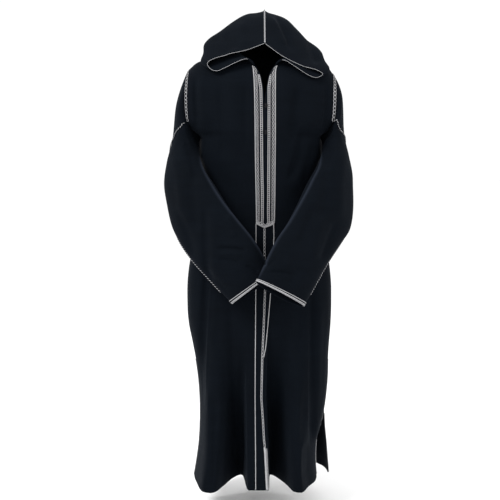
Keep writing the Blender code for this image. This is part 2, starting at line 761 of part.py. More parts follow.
def armhole_braid(front, back, side):
    """Braid on the body along the armhole, up the back and down the front."""
    last = len(front.points[0]) - 1
    behind = (1, 0) if side == LEFT else (len(back.points[0]) - 2, len(back.points[0]) - 1)
    up = [r for r, row in enumerate(back.points) if row[behind[1]].z > ARMHOLE_BRAID_FOOT_Z - TINY]
    down = [r for r, row in enumerate(front.points) if row[last].z > ARMHOLE_BRAID_FOOT_Z - TINY]
    places = patch(back, up[:0:-1], behind)
    places.append([middle(back.place(0, a), front.place(0, b)) for a, b in zip(behind, (last - 1, last))])
    places += patch(front, down[1:], (last - 1, last))
    band("armhole_braid_" + side_name(side), places, front.flip)


def knot(name, z):
    """Black knot button on the edge of the slit."""
    x = KNOT_X
    y = form_y(x, z, FRONT) - BRAID_RISE - 2 * SEAM_GAP - KNOT_SIZE[1]
    verts = []
    faces = []
    for i in range(1, KNOT_STEPS):
        turn = math.pi * i / KNOT_STEPS
        for k in range(2 * KNOT_STEPS):
            round_turn = math.pi * k / KNOT_STEPS
            verts.append(Vector((x + KNOT_SIZE[0] * math.sin(turn) * math.cos(round_turn),
                                 y + KNOT_SIZE[1] * math.sin(turn) * math.sin(round_turn),
                                 z + KNOT_SIZE[2] * math.cos(turn))))
    sides = 2 * KNOT_STEPS
    for i in range(KNOT_STEPS - 2):
        for k in range(sides):
            n = (k + 1) % sides
            faces.append((i * sides + k, (i + 1) * sides + k, (i + 1) * sides + n, i * sides + n))
    faces.append(tuple(range(sides)))
    low = (KNOT_STEPS - 2) * sides
    faces.append(tuple(low + k for k in reversed(range(sides))))
    return finish(name, verts, faces, KNOT_FINISH)


def side_piping(fronts, back):
    """Cord along each front's side edge, and along the back's below the top of the slit."""
    for side, sheet in fronts.items():
        parts = (("front", sheet, len(sheet.points[0]) - 1, FRONT, PIPING_TOP_Z),
                 ("back", back, 0 if side == LEFT else len(back.points[0]) - 1, BACK, SLIT_TOP_Z - SLIT_START))
        for face_name, panel, column, face, top in parts:
            way = Vector((-side, -face, 0)).normalized()
            places = [(row[column], way) for row in panel.points if row[column].z < top]
            cord("side_piping_" + face_name + "_" + side_name(side), places, CORD_RADIUS, PIPING_LIFT)


def sleeve_piping(sheet, side):
    """Piping of the underarm seam: out from the armhole's front, then down the outer edge."""
    places = []
    for a, b in zip(SEAM_PATH, SEAM_PATH[1:]):
        steps = int(PIPING_STEPS * (abs(a.ring - b.ring) + abs(a.column - b.column))) + 1
        for k in range(steps):
            t = k / steps
            places.append(sheet.place(a.ring + (b.ring - a.ring) * t,
                                      (a.column + (b.column - a.column) * t) % len(sheet.points[0])))
    places.append(sheet.place(SEAM_PATH[-1].ring, SEAM_PATH[-1].column % len(sheet.points[0])))
    cord("sleeve_piping_" + side_name(side), places, CORD_RADIUS, SLEEVE_PIPING_LIFT)


def cuff_braid(sheet, side):
    last = len(sheet.points) - 1
    rows = patch(sheet, (last - 1, last), range(len(sheet.points[0])))
    band("cuff_braid_" + side_name(side), rows, sheet.flip, closed=True)


def hood_trims(hoods):
    for side, sheet in hoods.items():
        places = []
        for r in list(range(1, HOOD_ROWS)) + [HOOD_ROWS - BRIM_END]:
            point, way = sheet.place(r, 0)
            ahead = (point - sheet.place(r, 1)[0]).normalized()
            places.append((point + way * CLOTH / 2, -ahead))
        cord("brim_piping_" + side_name(side), places, CORD_RADIUS, BRIM_LIFT)
    last = len(hoods[LEFT].points[0]) - 1
    ridge = [middle(hoods[LEFT].place(HOOD_ROWS, c), hoods[RIGHT].place(HOOD_ROWS, c))
             for c in range(last + 1)]
    cord("ridge_braid", ridge, RIDGE_RADIUS)


def main():
    for obj in list(bpy.data.objects):
        bpy.data.objects.remove(obj, do_unlink=True)
    fronts = {side: front_panel(side) for side in (LEFT, RIGHT)}
    back = back_panel()
    hoods = {LEFT: hood_half(LEFT_HOOD, LEFT), RIGHT: hood_half(RIGHT_HOOD, RIGHT)}
    cloth_wall("back", back)
    for side, rings in ((LEFT, LEFT_SLEEVE), (RIGHT, RIGHT_SLEEVE)):
        name = side_name(side)
        cloth_wall("front_" + name, fronts[side])
        cloth_wall("hood_" + name, hoods[side])
        arm = sleeve(rings, fronts[side], back, side)
        cloth_wall("sleeve_" + name, arm)
        armhole_braid(fronts[side], back, side)
        sleeve_piping(arm, side)
        cuff_braid(arm, side)
    chest_trims(fronts)
    hood_trims(hoods)
    side_piping(fronts, back)
    for i, z in enumerate(KNOT_PLACES):
        knot("knot_%d" % (i + 1), z)


main()
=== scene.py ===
"""Looks of a djellaba: a long hooded robe of black wool with silver braid, worn and filled out.

Metres, +Z up, the front faces -Y. Left and right are as a viewer in front sees them, so left is -X.
"""
import math
from collections import namedtuple

import bpy
import numpy as np
from bpy.props import FloatProperty, FloatVectorProperty, PointerProperty
from bpy.types import Operator, Panel, PropertyGroup
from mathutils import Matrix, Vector


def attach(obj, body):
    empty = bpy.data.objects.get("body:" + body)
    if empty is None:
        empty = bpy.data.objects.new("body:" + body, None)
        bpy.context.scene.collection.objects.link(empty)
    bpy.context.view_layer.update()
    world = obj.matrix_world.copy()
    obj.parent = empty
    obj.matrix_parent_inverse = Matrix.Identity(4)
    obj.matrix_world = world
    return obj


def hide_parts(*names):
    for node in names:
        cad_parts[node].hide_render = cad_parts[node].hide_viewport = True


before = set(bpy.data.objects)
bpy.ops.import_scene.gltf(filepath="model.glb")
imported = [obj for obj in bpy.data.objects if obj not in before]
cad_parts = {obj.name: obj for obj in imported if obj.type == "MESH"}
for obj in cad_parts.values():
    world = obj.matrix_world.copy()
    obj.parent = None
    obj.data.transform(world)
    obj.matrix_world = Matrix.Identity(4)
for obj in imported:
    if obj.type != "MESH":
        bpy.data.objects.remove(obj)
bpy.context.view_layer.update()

bl_info = {
    "name": "Djellaba",
    "version": (1, 0, 0),
    "blender": (4, 5, 0),
    "location": "View3D > Sidebar > Djellaba",
    "description": "Makes a black wool djellaba with silver braid, piece by piece",
    "category": "Object",
}

BODY = "root"

LEFT = -1
RIGHT = 1
FRONT = -1
BACK = 1
TINY = 1e-5

# Form of the robe, with the same values as its solids
SEAM_GAP = 0.0003
HEM_Z = -1.41
SLIT_TOP_Z = -1.17
PIPING_TOP_Z = -1.0
NECK_HALF_WIDTH = 0.085
NECK_FRONT_DEPTH = 0.100
NECK_BACK_DEPTH = 0.070
NECK_FRONT_ANGLES = (0, 14, 27, 40, 53, 68)
NECK_BACK_ANGLES = (0, 28, 47, 64, 78, 90)
V_FOOT_Z = -0.514
V_BAND = 0.009
V_DIP = 0.013
ROLL_Z = -0.10
ARMHOLE_FOOT_Z = -0.24
ARMHOLE_CENTRE_Z = -0.13
ARMHOLE_TOP_X = 0.25
ARMHOLE_BRAID_FOOT_Z = -0.185
SLEEVE_GAP = 0.0008
SLIT_START = 0.02
SLIT_SPREAD = 0.012
SLIT_RUN = 0.12
BOXINESS = 2.5
FOLD_FADE = 8
NECK_WALL_TURN = 14.4
TRIM_LEAST = 0.010
KNOT_X = 0.0035
KNOT_PLACES = (-0.136, -0.222)

Section = namedtuple("Section", "z left right back_left back_right front back")
SECTIONS = (
    Section(-0.10, 0.292, 0.262, 0.292, 0.262, 0.118, 0.104),
    Section(-0.185, 0.275, 0.245, 0.275, 0.245, 0.121, 0.108),
    Section(-0.24, 0.214, 0.188, 0.214, 0.188, 0.120, 0.106),
    Section(-0.285, 0.2165, 0.1905, 0.2165, 0.1905, 0.112, 0.102),
    Section(-0.34, 0.208, 0.184, 0.208, 0.184, 0.104, 0.100),
    Section(-0.42, 0.190, 0.166, 0.190, 0.166, 0.100, 0.100),
    Section(-0.53, 0.208, 0.184, 0.208, 0.184, 0.102, 0.104),
    Section(-0.64, 0.250, 0.218, 0.250, 0.218, 0.110, 0.114),
    Section(-0.75, 0.264, 0.230, 0.264, 0.230, 0.124, 0.124),
    Section(-0.87, 0.260, 0.229, 0.260, 0.229, 0.132, 0.132),
    Section(-0.97, 0.241, 0.222, 0.241, 0.222, 0.138, 0.138),
    Section(-1.08, 0.226, 0.219, 0.226, 0.219, 0.144, 0.142),
    Section(-1.19, 0.222, 0.206, 0.222, 0.210, 0.150, 0.146),
    Section(-1.30, 0.227, 0.180, 0.225, 0.219, 0.156, 0.150),
    Section(-1.41, 0.244, 0.184, 0.232, 0.228, 0.160, 0.154),
)

Shoulder = namedtuple("Shoulder", "x left right")
SHOULDERS = (
    Shoulder(0.00, 0.056, 0.056),
    Shoulder(0.085, 0.045, 0.045),
    Shoulder(0.150, 0.034, 0.028),
    Shoulder(0.200, 0.020, 0.008),
    Shoulder(0.235, 0.004, -0.036),
    Shoulder(0.262, -0.026, -0.070),
)

Armhole = namedtuple("Armhole", "z left right")
ARMHOLE = (
    Armhole(0.00, 0.257, 0.233),
    Armhole(-0.10, 0.264, 0.236),
    Armhole(-0.185, 0.258, 0.230),
    Armhole(-0.215, 0.240, 0.212),
    Armhole(-0.24, 0.214, 0.188),
)

Opening = namedtuple("Opening", "z half trim_left trim_right")
OPENING = (
    Opening(0.00, 0.0315, 0.042, 0.040),
    Opening(-0.016, 0.0215, 0.039, 0.037),
    Opening(-0.060, 0.0090, 0.036, 0.036),
    Opening(-0.127, 0.0012, 0.034, 0.036),
    Opening(-0.30, 0.0003, 0.032, 0.036),
    Opening(-0.53, 0.0, 0.028, 0.034),
    Opening(-0.74, 0.0, 0.029, 0.022),
    Opening(-0.87, 0.0, 0.029, 0.0165),
    Opening(-1.41, 0.0, 0.030, 0.0170),
)
TRIM_SHARES = (0.0, 0.10, 0.42, 0.54, 1.0)
FIELD_SHARES = (0.0, 0.10, 0.22, 0.36, 0.50, 0.65, 0.80, 0.945, 1.0)
BACK_SHARES = (0.20, 0.40, 0.60, 0.77, 0.92, 1.0)

Fold = namedtuple("Fold", "x_top x_hem reach_left reach_right depth top_z")
FRONT_FOLDS = (
    Fold(-0.185, -0.200, 0.050, 0.075, -0.085, -0.72),
    Fold(-0.085, -0.079, 0.085, 0.028, 0.150, -0.86),
    Fold(0.0170, 0.0175, 0.0105, 0.095, 0.155, -0.80),
    Fold(0.140, 0.120, 0.050, 0.045, -0.050, -0.72),
)
BACK_FOLDS = (
    Fold(-0.160, -0.178, 0.050, 0.050, 0.045, -0.60),
    Fold(-0.085, -0.098, 0.050, 0.055, -0.060, -0.72),
    Fold(-0.010, -0.015, 0.060, 0.050, 0.030, -0.50),
    Fold(0.070, 0.078, 0.050, 0.050, -0.065, -0.78),
    Fold(0.145, 0.160, 0.050, 0.045, 0.050, -0.62),
)

ARM_ROWS = (-0.13, -0.16, -0.185, -0.215, ARMHOLE_FOOT_Z)
CHEST_ROWS = (-0.30, -0.36, -0.42, -0.47)
V_ROWS = (V_FOOT_Z, V_FOOT_Z - V_BAND)
SKIRT_TOP_Z = -0.58
SKIRT_ROWS = 14
SKIRT_LEVELS = tuple(SKIRT_TOP_Z + (HEM_Z - SKIRT_TOP_Z) * k / SKIRT_ROWS for k in range(SKIRT_ROWS + 1))
BACK_ROWS = (-0.31, -0.38, -0.45, -0.51)
BACK_ROLL_ROWS = 4
NECK_ROWS = len(NECK_FRONT_ANGLES)
ROLL_ROWS = NECK_ROWS + 3
TRIM_EDGE = len(TRIM_SHARES) - 1
FOOT_ROW = ROLL_ROWS + len(ARM_ROWS) + len(CHEST_ROWS)
BACK_OUT = len(BACK_SHARES)

Ring = namedtuple("Ring", "inner outer thick")
SLEEVE_RINGS = {
    LEFT: (
        Ring((-0.2195, -0.022, -0.285), (-0.310, -0.008, -0.244), 0.066),
        Ring((-0.200, -0.100, -0.340), (-0.326, -0.014, -0.324), 0.052),
        Ring((-0.164, -0.150, -0.397), (-0.332, -0.024, -0.398), 0.049),
        Ring((-0.128, -0.172, -0.450), (-0.323, -0.040, -0.466), 0.046),
        Ring((-0.092, -0.182, -0.496), (-0.306, -0.064, -0.537), 0.044),
        Ring((-0.061, -0.188, -0.533), (-0.280, -0.100, -0.584), 0.042),
        Ring((-0.030, -0.192, -0.574), (-0.240, -0.136, -0.636), 0.040),
        Ring((-0.002, -0.194, -0.622), (-0.176, -0.166, -0.704), 0.037),
        Ring((0.024, -0.196, -0.676), (-0.105, -0.184, -0.777), 0.033),
    ),
    RIGHT: (
        Ring((0.1935, -0.022, -0.280), (0.268, -0.008, -0.215), 0.066),
        Ring((0.176, -0.104, -0.328), (0.278, -0.014, -0.295), 0.052),
        Ring((0.143, -0.162, -0.388), (0.289, -0.024, -0.380), 0.049),
        Ring((0.107, -0.198, -0.452), (0.293, -0.044, -0.466), 0.046),
        Ring((0.072, -0.226, -0.510), (0.281, -0.074, -0.545), 0.044),
        Ring((0.038, -0.248, -0.558), (0.246, -0.124, -0.590), 0.042),
        Ring((0.013, -0.264, -0.603), (0.206, -0.174, -0.640), 0.040),
        Ring((-0.008, -0.276, -0.648), (0.164, -0.216, -0.706), 0.037),
        Ring((-0.027, -0.282, -0.688), (0.124, -0.244, -0.775), 0.033),
    ),
}
SLEEVE_START_SHARE = 0.42
SLEEVE_START_PUFF = 0.004
SLEEVE_START_OUT = 0.009
SLEEVE_FOOT_OUT = 0.0030
SLEEVE_FACING = (0.8, 0.4)
CUFF_BAND = 0.011
Stop = namedtuple("Stop", "ring column")
SEAM_PATH = [Stop(2.35, 0), Stop(3.0, -0.6), Stop(6.0, -0.6), Stop(7.0, 0.2), Stop(9.8, 0.3)]
SLEEVE_SEAM_TOP = {LEFT: (-0.264, -0.192, -0.305, -0.236), RIGHT: (0.232, -0.186, 0.262, -0.232)}

Rib = namedtuple("Rib", "along brim crown")
HOOD_RIBS = {
    LEFT: (
        Rib(0.00, (-0.032, -0.093, 0.000), (-0.085, 0.000, 0.046)),
        Rib(0.10, (-0.066, -0.112, 0.013), (-0.118, -0.006, 0.052)),
        Rib(0.22, (-0.116, -0.112, -0.008), (-0.158, -0.010, 0.044)),
        Rib(0.34, (-0.164, -0.108, -0.025), (-0.190, -0.012, 0.036)),
        Rib(0.44, (-0.194, -0.104, 0.000), (-0.203, -0.004, 0.042)),
        Rib(0.54, (-0.176, -0.108, 0.017), (-0.194, 0.004, 0.080)),
        Rib(0.66, (-0.130, -0.112, 0.030), (-0.152, 0.010, 0.113)),
        Rib(0.82, (-0.066, -0.112, 0.042), (-0.086, 0.016, 0.150)),
        Rib(1.00, (0.000, -0.110, 0.066), (0.000, -0.030, 0.136)),
    ),
    RIGHT: (
        Rib(0.00, (0.032, -0.093, 0.000), (0.085, 0.000, 0.046)),
        Rib(0.10, (0.066, -0.112, 0.009), (0.118, -0.006, 0.050)),
        Rib(0.22, (0.112, -0.112, -0.020), (0.158, -0.010, 0.038)),
        Rib(0.34, (0.164, -0.108, -0.046), (0.190, -0.012, 0.022)),
        Rib(0.44, (0.192, -0.104, -0.034), (0.203, -0.004, 0.022)),
        Rib(0.54, (0.170, -0.108, -0.018), (0.193, 0.004, 0.050)),
        Rib(0.66, (0.128, -0.112, -0.008), (0.146, 0.010, 0.083)),
        Rib(0.82, (0.062, -0.112, 0.022), (0.088, 0.016, 0.134)),
        Rib(1.00, (0.000, -0.110, 0.066), (0.000, -0.030, 0.136)),
    ),
}
NAPE_SEAM = ((0.0, 0.125, 0.070), (0.0, 0.125, 0.150))
PEAK = (0.0, 0.055, 0.184)
HOOD_MIDDLE = (0.0, 0.01, 0.07)
HOOD_ROW_SHARES = (0.09, 0.18, 0.26, 0.32, 0.36, 0.39, 0.42, 0.45, 0.48, 0.52, 0.58, 0.66,
                   0.75, 0.84, 0.92, 1.0)
HOOD_ROWS = len(HOOD_ROW_SHARES)
HOOD_LIFT = -0.0014

# Creases, in the plane that a viewer in front sees. A negative depth is a ridge.
Crease = namedtuple("Crease", "x0 z0 x1 z1 bow width lean depth")
FRONT_CREASES = (
    Crease(-0.229, -0.030, -0.222, -0.215, 0.003, 0.010, 0.2, 0.0060),
    Crease(-0.205, -0.020, -0.196, -0.200, 0.006, 0.016, 0.0, -0.0030),
    Crease(-0.100, 0.000, -0.116, -0.270, 0.004, 0.034, 0.1, -0.0070),
    Crease(-0.150, -0.040, -0.146, -0.330, -0.010, 0.020, 0.3, 0.0050),
    Crease(-0.060, -0.050, -0.058, -0.300, 0.003, 0.012, -0.2, 0.0036),
    Crease(-0.180, -0.140, -0.130, -0.430, 0.008, 0.022, 0.2, 0.0050),
    Crease(0.068, -0.020, 0.070, -0.215, -0.004, 0.028, 0.1, -0.0070),
    Crease(0.112, -0.070, 0.100, -0.270, 0.010, 0.018, 0.2, 0.0055),
    Crease(0.128, -0.200, 0.078, -0.390, -0.006, 0.017, 0.3, 0.0075),
    Crease(0.150, -0.040, 0.158, -0.230, 0.006, 0.022, 0.0, -0.0045),
    Crease(0.200, -0.060, 0.194, -0.220, -0.004, 0.010, 0.2, 0.0050),
    Crease(0.175, -0.250, 0.130, -0.400, 0.006, 0.014, 0.0, 0.0045),
    Crease(-0.176, -0.660, -0.203, -1.150, 0.004, 0.005, 0.3, -0.0036),
    Crease(-0.193, -0.640, -0.222, -1.200, 0.004, 0.016, 0.4, 0.0110),
    Crease(0.150, -0.680, 0.154, -1.330, 0.002, 0.005, -0.3, -0.0032),
    Crease(0.166, -0.660, 0.170, -1.330, 0.003, 0.015, -0.4, 0.0100),
    Crease(-0.077, -0.940, -0.080, -1.440, 0.003, 0.013, 0.3, 0.0070),
    Crease(-0.056, -0.980, -0.056, -1.420, -0.002, 0.013, 0.0, -0.0040),
    Crease(-0.135, -0.820, -0.128, -1.300, 0.006, 0.024, 0.2, -0.0045),
    Crease(-0.118, -0.760, -0.106, -1.060, -0.004, 0.015, 0.1, 0.0035),
    Crease(-0.157, -1.060, -0.164, -1.430, 0.004, 0.014, 0.0, 0.0045),
    Crease(0.052, -0.780, 0.060, -1.180, 0.005, 0.020, 0.2, 0.0040),
    Crease(0.084, -0.860, 0.094, -1.380, -0.004, 0.022, 0.1, -0.0050),
    Crease(0.118, -0.740, 0.120, -1.100, 0.004, 0.016, 0.2, 0.0045),
    Crease(0.128, -1.060, 0.142, -1.420, 0.003, 0.015, 0.1, 0.0050),
    Crease(0.190, -0.760, 0.182, -1.180, 0.004, 0.014, 0.0, -0.0040),
)
BACK_CREASES = (
    Crease(-0.020, -0.040, -0.060, -0.330, 0.010, 0.020, 0.2, 0.0055),
    Crease(0.030, -0.050, 0.075, -0.300, -0.008, 0.022, -0.1, 0.0050),
    Crease(-0.140, -0.020, -0.112, -0.260, 0.006, 0.026, 0.1, -0.0060),
    Crease(0.130, -0.030, 0.118, -0.280, -0.006, 0.024, 0.1, -0.0055),
    Crease(-0.215, -0.080, -0.170, -0.320, 0.006, 0.014, 0.2, 0.0060),
    Crease(0.192, -0.090, 0.150, -0.350, -0.006, 0.015, -0.2, 0.0060),
    Crease(-0.150, -0.300, -0.090, -0.480, 0.010, 0.020, 0.2, 0.0060),
    Crease(0.130, -0.340, 0.070, -0.520, -0.008, 0.022, -0.3, 0.0065),
    Crease(0.004, -0.360, -0.006, -0.760, 0.008, 0.026, 0.2, -0.0055),
    Crease(-0.050, -0.520, -0.052, -0.980, 0.006, 0.020, 0.2, 0.0060),
    Crease(0.046, -0.600, 0.052, -1.200, -0.006, 0.018, -0.2, 0.0065),
    Crease(-0.120, -0.640, -0.134, -1.200, 0.006, 0.018, 0.3, -0.0050),
    Crease(0.110, -0.700, 0.122, -1.300, 0.004, 0.020, 0.0, 0.0050),
    Crease(-0.170, -0.700, -0.190, -1.300, 0.004, 0.014, 0.2, 0.0060),
    Crease(0.180, -0.720, 0.196, -1.380, -0.004, 0.014, 0.1, -0.0045),
    Crease(-0.030, -1.000, -0.034, -1.430, 0.003, 0.014, 0.2, -0.0045),
    Crease(0.010, -0.940, 0.022, -1.430, -0.003, 0.016, 0.0, 0.0050),
    Crease(-0.096, -1.080, -0.110, -1.430, 0.003, 0.012, 0.0, 0.0045),
)
ARM_CREASES = {
    (LEFT, FRONT): (
        Crease(-0.196, -0.440, -0.184, -0.750, 0.004, 0.014, 0.3, 0.0065),
        Crease(-0.168, -0.450, -0.156, -0.700, 0.004, 0.020, 0.0, -0.0045),
        Crease(-0.162, -0.596, -0.054, -0.602, -0.005, 0.0055, 0.3, 0.0050),
        Crease(-0.150, -0.612, -0.070, -0.616, -0.004, 0.0065, 0.0, -0.0030),
        Crease(-0.154, -0.630, -0.076, -0.640, -0.003, 0.0055, 0.2, 0.0040),
        Crease(-0.064, -0.648, -0.018, -0.668, -0.002, 0.0050, 0.2, 0.0035),
        Crease(-0.275, -0.210, -0.222, -0.400, -0.010, 0.020, 0.2, 0.0060),
        Crease(-0.300, -0.270, -0.270, -0.560, -0.012, 0.024, 0.2, -0.0050),
        Crease(-0.240, -0.330, -0.214, -0.560, 0.008, 0.018, 0.0, 0.0045),
        Crease(-0.290, -0.470, -0.232, -0.640, -0.006, 0.014, 0.2, 0.0050),
        Crease(-0.120, -0.480, -0.090, -0.560, 0.004, 0.014, 0.0, -0.0035),
        Crease(-0.200, -0.660, -0.110, -0.740, 0.004, 0.012, 0.0, 0.0030),
    ),
    (LEFT, BACK): (
        Crease(-0.290, -0.260, -0.300, -0.480, 0.008, 0.018, 0.2, 0.0060),
        Crease(-0.262, -0.320, -0.240, -0.540, 0.006, 0.018, 0.0, -0.0045),
        Crease(-0.300, -0.500, -0.210, -0.560, 0.006, 0.010, 0.2, 0.0055),
        Crease(-0.270, -0.560, -0.170, -0.600, 0.005, 0.009, 0.2, 0.0050),
    ),
    (RIGHT, FRONT): (
        Crease(0.010, -0.657, 0.098, -0.670, -0.003, 0.0055, 0.2, 0.0045),
        Crease(0.036, -0.612, 0.082, -0.640, 0.004, 0.012, 0.0, -0.0040),
        Crease(-0.006, -0.630, 0.013, -0.642, 0.0, 0.0045, 0.0, 0.0040),
        Crease(0.012, -0.642, 0.022, -0.622, 0.0, 0.0040, 0.0, 0.0030),
        Crease(0.236, -0.200, 0.190, -0.400, 0.010, 0.020, -0.2, 0.0060),
        Crease(0.262, -0.260, 0.250, -0.520, 0.012, 0.022, 0.0, -0.0050),
        Crease(0.205, -0.330, 0.172, -0.520, -0.008, 0.018, 0.0, 0.0045),
        Crease(0.160, -0.440, 0.100, -0.590, -0.006, 0.016, 0.1, 0.0045),
        Crease(0.190, -0.480, 0.150, -0.640, 0.006, 0.020, 0.0, -0.0045),
        Crease(0.240, -0.500, 0.180, -0.640, 0.004, 0.014, 0.2, 0.0050),
        Crease(0.120, -0.640, 0.070, -0.710, 0.004, 0.012, 0.0, 0.0030),
    ),
    (RIGHT, BACK): (
        Crease(0.256, -0.240, 0.268, -0.460, -0.008, 0.018, 0.2, 0.0060),
        Crease(0.230, -0.300, 0.216, -0.520, -0.006, 0.018, 0.0, -0.0045),
        Crease(0.270, -0.480, 0.180, -0.540, -0.006, 0.010, 0.2, 0.0055),
        Crease(0.240, -0.540, 0.150, -0.590, -0.005, 0.009, 0.2, 0.0050),
    ),
}
HOOD_CREASES = {
    FRONT: (
        Crease(0.030, 0.176, 0.088, 0.034, -0.006, 0.009, 0.2, 0.0045),
        Crease(0.020, 0.166, 0.066, 0.050, -0.004, 0.012, 0.0, -0.0035),
        Crease(0.150, 0.090, 0.176, -0.006, 0.004, 0.014, 0.0, 0.0045),
        Crease(-0.166, 0.104, -0.120, 0.024, 0.008, 0.016, 0.2, 0.0055),
        Crease(-0.080, 0.150, -0.056, 0.050, 0.004, 0.018, 0.0, -0.0040),
        Crease(-0.128, 0.110, -0.094, 0.040, 0.003, 0.014, 0.0, 0.0030),
    ),
    BACK: (
        Crease(0.040, 0.150, 0.110, 0.060, 0.008, 0.014, 0.1, 0.0050),
        Crease(-0.036, 0.156, -0.104, 0.070, -0.008, 0.015, 0.1, 0.0050),
        Crease(0.070, 0.110, 0.050, 0.040, 0.004, 0.016, 0.0, -0.0040),
        Crease(-0.070, 0.120, -0.060, 0.044, 0.004, 0.016, 0.0, -0.0040),
    ),
}
CREASE_FADE = 0.22
SEAM_HOLD = 0.014

# The centre seam wanders to the side below the cuffs
Wander = namedtuple("Wander", "z shift")
WANDER = (
    Wander(-0.60, 0.0), Wander(-0.74, 0.002), Wander(-0.874, -0.003), Wander(-0.965, -0.007),
    Wander(-1.10, -0.010), Wander(-1.17, -0.005), Wander(-1.24, -0.001), Wander(-1.277, 0.004),
    Wander(-1.41, 0.011),
)
WANDER_REACH = 0.048

# Trims: the plait and the link are given by shares across their strip and by their thread's radius
Plait = namedtuple("Plait", "low high thread lift")
Link = namedtuple("Link", "middle half thread")
Cord = namedtuple("Cord", "across lift wide tall")
STEP = 0.004
FINE_STEP = 0.003
TURN_STEPS = 14
PLAIT_SLANT = 0.6
LINK_HALF = 0.6
GROUND_LIFT = 0.0003
GROUND_TALL = 0.00035
CHEST_BRAID = 0.0140
CHEST_PLAIT = Plait(0.38, 0.92, 0.0007, 0.0014)
CHEST_LADDER = (0.0175, 0.0272)
LADDER_SHARES = (0.04, 0.96)
RAIL = 0.0011
RAIL_LIFT = 0.0009
RUNG_LIFT = 0.0008
RUNG_TALL = 0.0007
RUNG_SHARE = 0.19
EDGE_CORD = 0.0017
EDGE_INSET = 1.05
EDGE_LIFT = 0.0012
EDGE_TALL = 0.0011
SLIT_ROOM = 0.0042
NECK_ROOM = 0.0022
TRIM_PART = 0.0010
BRAID_TOP = 5.0
SLIT_FOOT_PLACES = 24
SLIT_FOOT_ABOVE = 0.25
SLIT_FOOT_CORD = Cord(0.92, 0.0017, 0.0018, 0.0012)
SLIT_FOOT_PLAIT = Plait(0.20, 0.74, 0.0012, 0.0022)
CHAIN_ROOM = 0.0055
CENTRE_LINK = Link(0.5, 0.0024, 0.0010)
TAPE_TOP_Z = -1.268
HEM_TAPE = Cord(0.36, 0.0011, 0.0036, 0.0010)
HEM_LINK = Link(0.84, 0.0013, 0.0007)
HEM_LINK_PITCH = 0.0052
CORD_TALL = 0.9
CORD_WIDE = 1.15
ARMHOLE_BRAID = {LEFT: 0.0105, RIGHT: 0.0130}
ARMHOLE_THREAD = {LEFT: 0.0008, RIGHT: 0.0012}
ARMHOLE_BRAID_TOP = 0.05
ARMHOLE_PLACES = 60
ARMHOLE_INSET = 0.001
SEAM_TOP_SHARES = (0.0, 0.35, 0.7)
SEAM_PLACES = 24
PIPING_RADIUS = 0.0016
PIPING_PITCH = 0.0090
CUFF_PLACES = 160
CUFF_ROWS = (9.9, 10.96)
CUFF_CORDS = (Cord(0.20, 0.0011, 0.0012, 0.0010), Cord(0.56, 0.0011, 0.0014, 0.0010))
CUFF_LINK = Link(0.86, 0.0012, 0.0008)
CUFF_LINK_PITCH = 0.0050
CUFF_WIDTH = 0.0120
BRIM_DEPTH = 0.7
BRIM_RADIUS = 0.0006
RIDGE_PLACES = 90
RIDGE_LINK = Link(0.5, 0.0015, 0.0008)
SIDE_PIPING_OUT = 0.0004
SIDE_CORD = Cord(0.5, 0.0011, 0.0013, 0.0012)
KNOT_LIFT = 0.0048
KNOT_STEPS = 150
KNOT_SWIRL = 0.22
KNOT_TILT = 0.62
KNOT_SIZE = (0.0040, 0.0034, 0.0062)
KNOT_CORD = 0.0012
KNOT_CORE_HALF = 0.0056
LOOP_TURN = math.pi * 0.9
LOOP_REACH = 0.0085
LOOP_DROP = 0.0042
LOOP_ROW = 0.03
LOOP_LIFT = 0.0016
LOOP_CORD = 0.0011
RightCord = namedtuple("RightCord", "z distance")
RIGHT_CORD = (
    RightCord(-0.523, 0.034), RightCord(-0.64, 0.027), RightCord(-0.74, 0.019), RightCord(-0.85, 0.014),
    RightCord(-0.935, 0.009), RightCord(-0.965, 0.0045),
)

PALE = 0
DARK = 1


# Reading the tables

def smooth(rows, key, name, at):
    """Value of one named column at a place, on a smooth curve through the rows."""
    keys = [getattr(row, key) for row in rows]
    values = [getattr(row, name) for row in rows]
    if keys[0] > keys[-1]:
        keys.reverse()
        values.reverse()
    if at <= keys[0]:
        return values[0]
    if at >= keys[-1]:
        return values[-1]
    i = max(k for k in range(len(keys) - 1) if keys[k] <= at)
    span = keys[i + 1] - keys[i]
    t = (at - keys[i]) / span

    def slope(k):
        low = max(k - 1, 0)
        high = min(k + 1, len(keys) - 1)
        return (values[high] - values[low]) / (keys[high] - keys[low]) * span

    a = values[i]
    b = values[i + 1]
    return (a * (1 + 2 * t) * (1 - t) ** 2 + slope(i) * t * (1 - t) ** 2
            + b * t * t * (3 - 2 * t) - slope(i + 1) * t * t * (1 - t))


def smooth_point(rows, key, name, at):
    """The same for a column that holds points."""
    Pair = namedtuple("Pair", "key value")
    out = []
    for axis in range(3):
        column = [Pair(getattr(row, key), getattr(row, name)[axis]) for row in rows]
        out.append(smooth(column, "key", "value", at))
    return Vector(out)


def ease(t):
    t = min(max(t, 0.0), 1.0)
    return t * t * (3 - 2 * t)


def eased(t):
    t = np.clip(t, 0.0, 1.0)
    return t * t * (3 - 2 * t)


def side_name(side):
    return "left" if side == LEFT else "right"


# The body's form

def half_width(side, face, z):
    name = side_name(side)
    if face == BACK:
        name = "back_" + name
    return smooth(SECTIONS, "z", name, min(z, ROLL_Z))


def fold_push(x, z, face, share):
    """How far the folds move the cloth towards the back at a place."""
    push = 0.0
    for fold in FRONT_FOLDS if face == FRONT else BACK_FOLDS:
        grown = ease((fold.top_z - z) / (fold.top_z - HEM_Z))
        centre = fold.x_top + (fold.x_hem - fold.x_top) * grown
        reach = fold.reach_left if x < centre else fold.reach_right
        t = (x - centre) / reach
        if grown > 0 and abs(t) < 1:
            push += fold.depth * grown * math.cos(t * math.pi / 2) ** 2
    return push * (1 - share ** FOLD_FADE)


